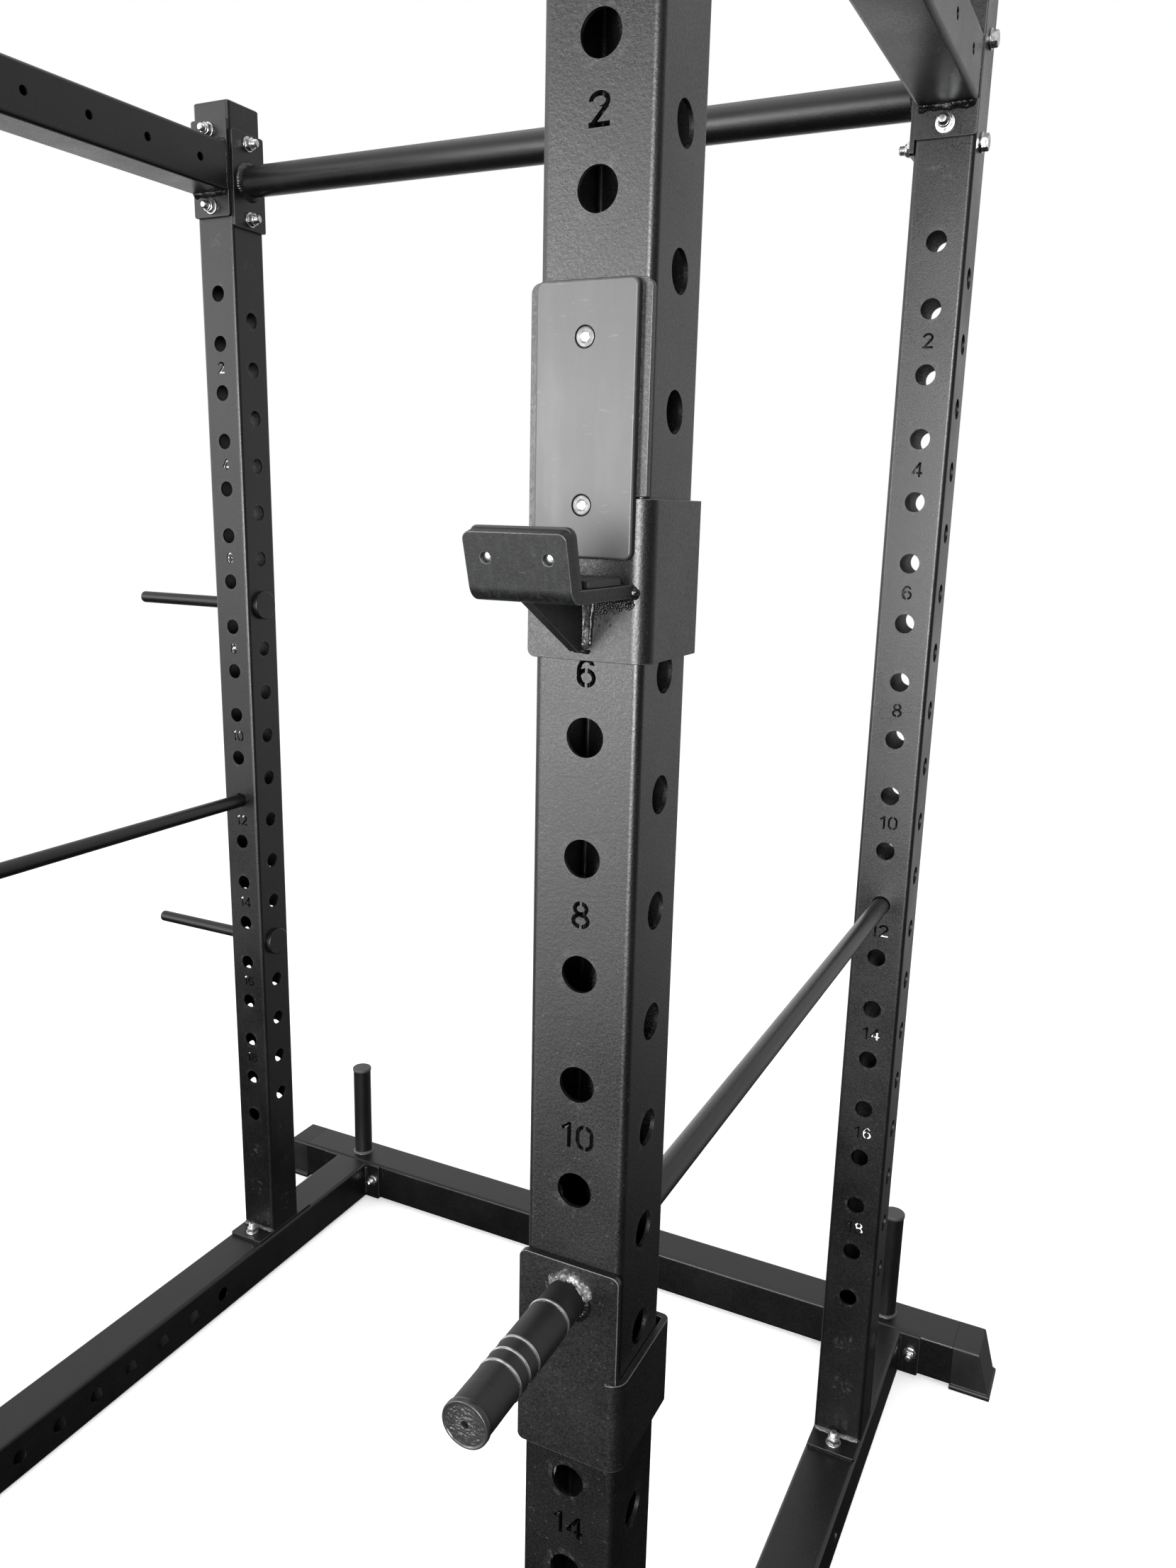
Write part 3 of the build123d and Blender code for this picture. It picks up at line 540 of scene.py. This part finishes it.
def fastener_spots():
    """Every bolt of the frame: where its head bears, its direction and the thickness it clamps."""
    clamped = TUBE + PLATE_T
    for sx in (-1, 1):
        for sy in (-1, 1):
            for sign in (-1, 1):
                x, y = sx * SPAN_X / 2, sy * SPAN_Y / 2
                yield (x, y + sign * FOOT_BOLT_OFF, BASE_TOP - WALL), (0, 0, 1), PLATE_T + WALL
                yield (x, y + sy * TUBE / 2, CROSS_Z + sign * BOLT_OFF), (0, -sy, 0), clamped
                yield (x + sx * TUBE / 2, y, BAR_Z + sign * BOLT_OFF), (-sx, 0, 0), clamped
        for sign in (-1, 1):
            spot = (sx * SPAN_X / 2 + sign * BOLT_OFF, BEAM_FRONT_Y + BASE_TUBE, RAIL_BOLT_Z)
            yield spot, (0, -1, 0), BASE_TUBE + PLATE_T


bolts, nuts, washers = Build(), Build(), Build()
dice = random.Random(FASTENER_SEED)
for spot, direction, grip in fastener_spots():
    place, nut_place = (place_along(row(*spot), direction, dice.uniform(0, math.pi / 3))
                        for _ in range(2))
    add_bolt(bolts, place, grip)
    add_nut(nuts, nut_place, grip)
    add_washer(washers, place, -WASHER_T)
    add_washer(washers, place, grip)
for build, name in ((bolts, "bolts"), (nuts, "nuts"), (washers, "washers")):
    build.piece(name, MATS["zinc"], "frame", "zinc_plate", [f"frame_{name}"])


# ------------------------------------------------------------------ weld beads
BEAD_STEP = 0.7         # between the rings of a bead
BEAD_COUNT = 11         # points across a bead
BEAD_SINK = 0.6         # how far a bead goes into its faces, in its own directions


def bead(build, points, size, ripple=2.4, rough=0.18, seed=0, closed=False, flat=False, lift=1.0):
    """Rippled weld bead. Each point is (corner, along face A, along face B) in millimetres; a
    flat bead lies on face A and rises along B."""
    rings = []
    length = 0.0
    span = math.pi if flat else math.pi / 2
    last = BEAD_COUNT - 1
    total = sum((Vector(points[i + 1][0]) - Vector(points[i][0])).length
                for i in range(len(points) - 1))
    for i, (corner, a, b) in enumerate(points):
        corner, a, b = Vector(corner), Vector(a), Vector(b)
        if i:
            length += (corner - Vector(points[i - 1][0])).length
        taper = 1.0
        if not closed:
            taper = min(1.0, 0.35 + min(length, total - length) / size)
        ring = []
        for k in range(BEAD_COUNT):
            phi = span * k / last
            bow = (k / last - 0.5) ** 2
            wave = math.sin(2 * math.pi * (length / ripple + 1.6 * bow))
            lump = noise.noise(Vector((length * 0.11, k * 0.13, seed * 7.3)))
            fine = noise.noise(Vector((length * 0.55, k * 0.6, seed * 3.1 + 9)))
            grow = size * taper * (1 + 0.05 * wave + rough * lump + rough * 0.35 * fine)
            if flat:
                point = corner + a * (grow * math.cos(phi)) + b * (grow * lift * math.sin(phi))
            else:
                crown = 1.0 - 0.16 * math.sin(2 * phi) * lift
                point = corner + (a * math.cos(phi) + b * math.sin(phi)) * (grow * crown)
            ring.append(row(*point))
        ring.append(row(*(corner - (b if flat else a + b) * BEAD_SINK)))
        rings.append(ring)
    build.grid(rings, closed)


def line_points(start, end, a, b, curl=None):
    """Points along a line; curl is the direction in which the ends turn round a tube's corners."""
    start, end = Vector(start), Vector(end)
    count = max(2, int((end - start).length / BEAD_STEP))
    points = []
    for i in range(count + 1):
        corner = start.lerp(end, i / count)
        if curl:
            reach = (corner - (start + end) / 2).length - (TUBE / 2 - TUBE_R)
            if reach > 0:
                inset = TUBE_R - math.sqrt(max(0.0, TUBE_R ** 2 - reach ** 2))
                corner = corner + Vector(curl) * inset
        points.append((corner, a, b))
    return points


def ring_points(centre, radius, axis, start=0.0, end=2 * math.pi, closed=True):
    """Points round a bar that stands on a plate; axis is the bar's direction."""
    axis = Vector(axis)
    first = Vector((0, 0, 1)) if abs(axis.z) < 0.5 else Vector((1, 0, 0))
    second = axis.cross(first)
    count = max(12, int(radius * abs(end - start) / BEAD_STEP))
    points = []
    for i in range(count if closed else count + 1):
        angle = start + (end - start) * i / count
        out = first * math.cos(angle) + second * math.sin(angle)
        points.append((Vector(centre) + out * radius, out, axis))
    return points


CROSS_WELD = 36.0       # half length of the welds across a tube
SIDE_WELD = 34.0        # half length of the welds up a crossmember's sides
RAIL_WELD_Z = (12.0, 80.0)

frame_welds, foot_welds = Build(), Build()
seed = 0
for sx in (-1, 1):
    x = sx * SPAN_X / 2
    for sy in (-1, 1):
        y = sy * SPAN_Y / 2
        for way in (-1, 1):
            seed += 1
            face = y + way * TUBE / 2
            points = line_points((x - CROSS_WELD, face, UPRIGHT_Z),
                                 (x + CROSS_WELD, face, UPRIGHT_Z), (0, way, 0), (0, 0, 1),
                                 curl=(0, -way, 0))
            bead(foot_welds, points, 4.6, seed=seed, rough=0.3)
        joint = sy * ((SPAN_Y - TUBE) / 2 - PLATE_T)
        for way in (-1, 1):
            seed += 1
            z = CROSS_Z + way * TUBE / 2
            points = line_points((x - CROSS_WELD, joint, z), (x + CROSS_WELD, joint, z),
                                 (0, 0, way), (0, -sy, 0), curl=(0, 0, -way))
            bead(frame_welds, points, 6.0, seed=seed, rough=0.38, ripple=3.1)
            side = x + way * TUBE / 2
            points = line_points((side, joint, CROSS_Z - SIDE_WELD),
                                 (side, joint, CROSS_Z + SIDE_WELD), (0, 1, 0), (way, 0, 0))
            bead(frame_welds, points, 2.6, seed=seed + 40, rough=0.35, flat=True, lift=0.4)
        seed += 1
        joint_x = sx * ((SPAN_X - TUBE) / 2 - PLATE_T)
        bead(frame_welds, ring_points((joint_x, y, BAR_Z), BAR_D / 2, (-sx, 0, 0)), 6.5,
             seed=seed, rough=0.2, closed=True, ripple=3.0)
    seed += 1
    bead(foot_welds, ring_points((x, BEAM_Y, BASE_TOP), PEG_R, (0, 0, 1)), 4.0,
         seed=seed, rough=0.3, closed=True)
    for way in (-1, 1):
        seed += 1
        side, back = x + way * BASE_TUBE / 2, BEAM_FRONT_Y - PLATE_T
        points = line_points(*((side, back, z) for z in RAIL_WELD_Z), (way, 0, 0), (0, -1, 0))
        bead(frame_welds, points, 4.0, seed=seed)
frame_welds.piece("frame_welds", MATS["painted_weld"], "frame", "black_powder_coat", sharp=60)
# the foot and peg beads use the paler coat, a painted highlight
foot_welds.piece("foot_welds", MATS["foot_weld"], "frame", "black_powder_coat", sharp=60)


# ------------------------------------------------------------------ attachment details
SPATTER_SEED = 5
SPATTER_COUNT = 230
DOWN, FRONT, RIGHT, LEFT = (0, 0, -1), (0, -1, 0), (1, 0, 0), (-1, 0, 0)


def hand(side, points):
    """Mirrors bead points of a right-hand attachment and moves them to its upright."""
    centre = Vector((side * SPAN_X / 2, -SPAN_Y / 2, HOLE1))
    flip = Vector((side, 1, 1))
    return [(centre + Vector(c) * flip, Vector(a) * flip, Vector(b) * flip) for c, a, b in points]


def hook_place(side, x, y, z, direction, spin=0.0):
    """Place of a hook's detail, in millimetres from its upright's middle and the top hole."""
    spot = row(side * (SPAN_X / 2 + x), -SPAN_Y / 2 + y, HOLE1 + z)
    return place_along(spot, direction, spin)


def socket_screw(head, socket, place, radius, flats):
    """Countersunk head with a hexagon socket; the socket is its own, brighter piece."""
    def wall(height, grow=0.0):
        return lambda a: (hex_radius(flats, a) + grow, height)
    rise = flats * 0.64
    head.lathe([(AXIS_R, -2.45), wall(-2.4, 0.08), wall(-0.35, 0.08), (rise, -0.05),
                (rise + 0.3, 0.0), (radius - 0.55, 0.0), (radius - 0.15, -0.12),
                (radius, -0.45), (radius, -2.6), (AXIS_R, -2.6)], place)
    socket.lathe([(AXIS_R, -1.2), (1.0, -1.3), wall(-1.5), wall(-0.32), wall(-0.32, 0.07),
                  wall(-2.35, 0.07), (AXIS_R, -2.4)], place)


def lip_rivet(build, side, x):
    """Bright end of the liner's rivet, sunk into its hole through the lip."""
    lean = math.radians(LIP_LEAN)
    axis = Vector((0, -math.cos(lean), -math.sin(lean)))
    y = -LIP_FRONT + SHELF_T / 2 / math.cos(lean) + (LIP_TOP - LIP_HOLE_Z) * math.tan(lean)
    build.lathe([(AXIS_R, -8.0), (3.15, -8.0), (3.15, 0.6), (2.6, 1.1), (1.6, 1.35),
                 (AXIS_R, 1.4)], hook_place(side, x, y, LIP_HOLE_Z, axis), around=32)


def hook_welds(side, bright_bead, painted):
    """Beads of the gusset and the shelf on the bracket's face, and their spatter."""
    under = SHELF_TOP - SHELF_T
    foot = GUSSET_BOTTOM + 1
    right, left = GUSSET_X + GUSSET_T / 2, GUSSET_X - GUSSET_T / 2
    # which piece, start and end as (x, z), the way the bead spreads, its size and its look
    beads = (
        # the first bead is brighter than the painted beads: a painted highlight
        (bright_bead, (right, under - 3), (right, foot), RIGHT, 3.7, dict(ripple=2.9, rough=0.42, seed=61)),
        # this thin flat bead right of the gusset weld stands for the dark stripe of shade beside
        # it: painted shade
        (painted, (right + 4.9, under - 2), (right + 3.6, foot + 2), RIGHT, 1.5,
         dict(rough=0.7, seed=67, flat=True)),
        (painted, (left, under - 3), (left, foot), LEFT, 4.4, dict(rough=0.4, seed=62)),
        (painted, (right + 1, under), (SHELF_RIGHT, under), DOWN, 3.4,
         dict(rough=0.6, seed=63, ripple=2.0)),
        (painted, (SHELF_LEFT, under), (left - 1, under), DOWN, 3.4, dict(rough=0.6, seed=64)),
        (painted, (SHELF_RIGHT + 0.2, SHELF_TOP - 1), (SHELF_RIGHT + 0.2, under - 1), RIGHT, 4.4,
         dict(rough=0.5, seed=65)),
        (painted, (-7, GUSSET_BOTTOM), (5, GUSSET_BOTTOM), DOWN, 2.3, dict(rough=0.4, seed=66)))
    for build, (x0, z0), (x1, z1), spread, size, look in beads:
        points = line_points((x0, -OUTER, z0), (x1, -OUTER, z1), spread, FRONT)
        bead(build, hand(side, points), size, **look)
    dice = random.Random(SPATTER_SEED)
    for _ in range(SPATTER_COUNT):
        x = dice.uniform(2, SHELF_RIGHT)
        z = under - 2 - abs(dice.gauss(0, 6.0 if x < 20 else 3.0))
        size = dice.uniform(0.35, 1.25)
        drop = [(size, -0.1), (size * 0.85, size * 0.45), (size * 0.4, size * 0.75),
                (AXIS_R, size * 0.8)]
        painted.lathe(drop, hook_place(side, x, -OUTER, z, FRONT), around=8)


def add_hook_details(side, label):
    body = f"jhook_{label}"
    bright_bead, painted, screws, sockets = Build(), Build(), Build(), Build()
    hook_welds(side, bright_bead, painted)
    for z in LINER_SCREW_Z:
        place = hook_place(side, LINER_SCREW_X, 0.3 - OUTER - LINER_T, z, FRONT, 0.3)
        socket_screw(screws, sockets, place, LINER_SCREW_R, 5.0)
    for sign in (-1, 1):
        place = hook_place(side, HOOK_X + sign * SHELF_SCREW_X, SHELF_SCREW_Y,
                           SHELF_TOP + SHELF_SCREW_LIFT, (0, 0, 1), 0.2)
        socket_screw(screws, sockets, place, SHELF_SCREW_R, 4.0)
    for x in LIP_HOLE_X:
        lip_rivet(sockets, side, x)
    bright_bead.piece(f"hook_gusset_weld_{label}", MATS["gusset_weld"], body, "bright_steel", sharp=60)
    painted.piece(f"hook_welds_{label}", MATS["painted_weld"], body, "black_powder_coat", sharp=60)
    screws.piece(f"hook_screws_{label}", MATS["screw"], body, "zinc_plate",
                 [f"jhook_screws_{label}"])
    sockets.piece(f"hook_sockets_{label}", MATS["bare"], body, "zinc_plate")


def stipple(base, reach, depth):
    """Ring of the moulded grip texture with its mould line on one side."""
    def at(angle):
        dots = math.sin(angle * 36 + reach * 2.6) * math.sin(angle * 36 - reach * 2.6)
        seam = 0.22 * math.exp(-((angle - 4.1) / 0.02) ** 2)
        return (base + depth * dots - depth + seam, reach)
    return at


def crinkle(radius, height):
    """Ring of the crinkled face of a grip's end cap."""
    def at(angle):
        x, y = radius * math.cos(angle), radius * math.sin(angle)
        lump = (noise.noise(Vector((x * 0.35, y * 0.55, 3.0)))
                + noise.noise(Vector((x * 1.0, y * 1.9, 8.0))))
        return (radius, height - 0.2 + 0.46 * lump * min(1.0, (15.5 - radius) / 3))
    return at


def grip_profile():
    """The sleeve: a smooth collar, then texture with a groove under each ring."""
    step, groove, collar = 0.6, 0.7, 0.8
    profile = [(AXIS_R, OUTER), (GRIP_R - 0.9, OUTER)]
    reach = OUTER + step
    while reach < GRIP_END - 0.8:
        base = GRIP_R - (collar if reach < GRIP_RINGS[0] - 0.6 else 0.0)
        base -= groove * any(abs(reach - r) < 1.3 for r in GRIP_RINGS)
        profile.append(stipple(base, reach, 0.16 if reach < GRIP_SMOOTH else 0.03))
        reach += step
    return profile + [(GRIP_R - 0.1, GRIP_END - 0.5), (GRIP_R - 0.9, GRIP_END),
                      (AXIS_R, GRIP_END)]


def add_dip_details(side, label):
    body = f"dip_handle_{label}"
    centre = (0.0, -OUTER, DIP_Z - HOLE1)
    bright, dark = Build(), Build()
    # the bead round the grip's root is bright weld metal on its upper part and dark coat below
    top, low = (ring_points(centre, GRIP_R - 1.2, FRONT, math.radians(first), math.radians(last),
                            closed=False) for first, last in ((-88, 66), (60, 278)))
    bead(bright, hand(side, top), 5.2, ripple=3.4, rough=0.5, seed=71)
    bead(dark, hand(side, low), 5.0, ripple=2.6, rough=0.45, seed=72)
    bright.piece(f"dip_weld_{label}", MATS["raw_weld"], body, "bright_steel", sharp=60)
    dark.piece(f"dip_weld_low_{label}", MATS["painted_weld"], body, "black_powder_coat", sharp=60)

    grip, rings, cap = Build(), Build(), Build()
    axis = place_along(row(side * SPAN_X / 2, -SPAN_Y / 2, DIP_Z), FRONT)
    grip.lathe(grip_profile(), axis, around=144)
    half, crown = 1.15, 0.75
    for reach in GRIP_RINGS:
        rings.lathe([(GRIP_R - 1.2, reach - half), (GRIP_R + 0.1, reach - half),
                     (GRIP_R + 0.42, reach - crown), (GRIP_R + 0.5, reach),
                     (GRIP_R + 0.42, reach + crown), (GRIP_R + 0.1, reach + half),
                     (GRIP_R - 1.2, reach + half)], axis, around=96, closed=True)
    end = GRIP_END + GRIP_CAP_T
    profile = [(2.5, end - 3.0), (2.5, end - 0.9), (2.9, end - 0.5)]
    profile += [crinkle(3.3 + 0.4 * i, end - 0.35) for i in range(28)]
    profile += [(14.6, end - 0.35), (15.1, end - 0.05), (15.8, end), (16.3, end - 0.35),
                (16.55, end - 1.1), (16.55, GRIP_END + 0.5), (16.2, GRIP_END), (2.5, GRIP_END)]
    cap.lathe(profile, axis, around=96, closed=True)
    grip.piece(f"grip_sleeve_{label}", MATS["grip"], body, "black_grip",
               [f"dip_grip_{label}"], sharp=70)
    rings.piece(f"grip_rings_{label}", MATS["steel"], body, "bright_steel",
                [f"dip_grip_rings_{label}"])
    cap.piece(f"grip_end_cap_{label}", MATS["grip_cap"], body, "black_plastic",
              [f"dip_grip_cap_{label}"], sharp=50)


for side, label in ((-1, "left"), (1, "right")):
    add_hook_details(side, label)
    add_dip_details(side, label)


# ------------------------------------------------------------------ camera
CAM_POS = Vector((0.9442, -1.26485, 1.5235))
CAM_YAW, CAM_PITCH, CAM_ROLL = (math.radians(v) for v in (-25.96, -13.09, 1.39))
CAM_LENS = 27.18
CAM_SENSOR = 36.0

forward = Vector((math.sin(CAM_YAW) * math.cos(CAM_PITCH),
                  math.cos(CAM_YAW) * math.cos(CAM_PITCH), math.sin(CAM_PITCH)))
level = Vector((math.cos(CAM_YAW), -math.sin(CAM_YAW), 0.0))
up = level.cross(forward)
cam_x = level * math.cos(CAM_ROLL) + up * math.sin(CAM_ROLL)
cam_y = up * math.cos(CAM_ROLL) - level * math.sin(CAM_ROLL)
camera = bpy.data.objects.new("camera", bpy.data.cameras.new("camera"))
bpy.context.scene.collection.objects.link(camera)
camera.matrix_world = Matrix((
    (cam_x.x, cam_y.x, -forward.x, CAM_POS.x),
    (cam_x.y, cam_y.y, -forward.y, CAM_POS.y),
    (cam_x.z, cam_y.z, -forward.z, CAM_POS.z),
    (0.0, 0.0, 0.0, 1.0)))
camera.data.sensor_width = CAM_SENSOR
camera.data.lens = CAM_LENS
camera.data.clip_start = 0.01
bpy.context.scene.camera = camera


# ------------------------------------------------------------------ studio
def area_light(name, place, target, size_x, size_y, power):
    light = bpy.data.lights.new(name, "AREA")
    light.shape = "RECTANGLE"
    light.size = size_x
    light.size_y = size_y
    light.energy = power
    obj = bpy.data.objects.new(name, light)
    bpy.context.scene.collection.objects.link(obj)
    obj.location = place
    direction = Vector(target) - Vector(place)
    obj.rotation_euler = direction.to_track_quat("-Z", "Y").to_euler()


# name: place, target, width, height in metres, radiance in watts per square metre and steradian
LIGHTS = {"key": ((-1.76, -4.60, 1.47), (0.6, -0.6, 1.47), 1.05, 2.45, 19.5),
          "fill": ((1.45, -4.60, 1.45), (0.6, -0.6, 1.45), 1.8, 2.4, 31.0),
          "floor_glow": ((-1.60, -3.10, 0.02), (-1.60, -3.10, 2.0), 2.1, 2.5, 3.0),
          "top": ((0.0, 0.2, 4.6), (0.0, 0.2, 0.0), 4.0, 4.0, 1.0)}
for light_name, (place, target, wide, high, radiance) in LIGHTS.items():
    area_light(light_name, place, target, wide, high, radiance * math.pi * wide * high)

scene = bpy.context.scene
world = bpy.data.worlds.new("studio")
scene.world = world
world.use_nodes = True
wt = world.node_tree
wt.nodes.clear()
w_out = wt.nodes.new("ShaderNodeOutputWorld")
w_coord = wt.nodes.new("ShaderNodeTexCoord")
w_split = wt.nodes.new("ShaderNodeSeparateXYZ")
wt.links.new(w_coord.outputs["Generated"], w_split.inputs[0])


def world_ramp(source, low, high, to_low, to_high):
    made = wt.nodes.new("ShaderNodeMapRange")
    made.interpolation_type = "SMOOTHSTEP"
    for key, value in (("From Min", low), ("From Max", high), ("To Min", to_low),
                       ("To Max", to_high)):
        made.inputs[key].default_value = value
    wt.links.new(source, made.inputs["Value"])
    return made.outputs["Result"]


def world_mix(factor, a, b):
    made = wt.nodes.new("ShaderNodeMix")
    for value, socket in ((factor, "Factor"), (a, "A"), (b, "B")):
        if isinstance(value, bpy.types.NodeSocket):
            wt.links.new(value, made.inputs[socket])
        else:
            made.inputs[socket].default_value = value
    return made.outputs["Result"]


w_x, w_y, w_z = w_split.outputs
# a bright band in front of the cage, a dimmer one behind it, dark floor reflections
front_low = world_ramp(w_z, -0.16, 0.03, 0.003, 0.55)
front_left = world_ramp(w_z, -0.26, 0.0, 0.003, 3.0)
front_band = world_mix(world_ramp(w_x, -0.60, -0.36, 1.0, 0.0), front_low, front_left)
front_high = world_ramp(w_z, 0.22, 0.60, 0.0, 1.0)
front = world_mix(front_high, front_band, 0.75)
back_left = world_ramp(w_z, -0.80, -0.05, 0.02, 1.3)
back_right = world_ramp(w_z, -0.60, -0.10, 0.002, 0.70)
back_low = world_mix(world_ramp(w_x, -0.25, 0.25, 0.0, 1.0), back_left, back_right)
back = world_mix(world_ramp(w_z, 0.1, 0.5, 0.0, 1.0), back_low, 0.75)
room = world_mix(world_ramp(w_y, -0.15, 0.35, 0.0, 1.0), front, back)
# a dark side of the room on the right
beside = world_mix(world_ramp(w_x, 0.76, 0.93, 0.0, 0.85), room, 0.10)


def background(strength):
    made = wt.nodes.new("ShaderNodeBackground")
    made.inputs["Color"].default_value = (1.0, 1.0, 1.0, 1.0)
    if isinstance(strength, bpy.types.NodeSocket):
        wt.links.new(strength, made.inputs["Strength"])
    else:
        made.inputs["Strength"].default_value = strength
    return made.outputs[0]


# the room lights the object, and plain white stands behind it
w_path = wt.nodes.new("ShaderNodeLightPath")
w_mix = wt.nodes.new("ShaderNodeMixShader")
wt.links.new(w_path.outputs["Is Camera Ray"], w_mix.inputs["Fac"])
wt.links.new(background(beside), w_mix.inputs[1])
wt.links.new(background(1.0), w_mix.inputs[2])
wt.links.new(w_mix.outputs[0], w_out.inputs["Surface"])

FLOOR = 14.0            # half its width, in metres
FLOOR_GLOW = 0.28
floor_mesh = bpy.data.meshes.new("floor")
floor_mesh.from_pydata([(-FLOOR, -FLOOR, 0), (FLOOR, -FLOOR, 0), (FLOOR, FLOOR, 0),
                        (-FLOOR, FLOOR, 0)], [], [(0, 1, 2, 3)])
floor = bpy.data.objects.new("floor", floor_mesh)
scene.collection.objects.link(floor)
floor_paint = Mat("floor_paint")
floor_paint.put(floor_paint.bsdf.inputs["Emission Color"], grey(1.0))
floor_paint.put(floor_paint.bsdf.inputs["Emission Strength"], FLOOR_GLOW)
floor_mesh.materials.append(floor_paint.set(color=grey(0.93), rough=0.9, spec=0.1))
floor.visible_glossy = False
floor.visible_diffuse = False
scene.view_settings.view_transform = "Standard"
scene.view_settings.look = "None"
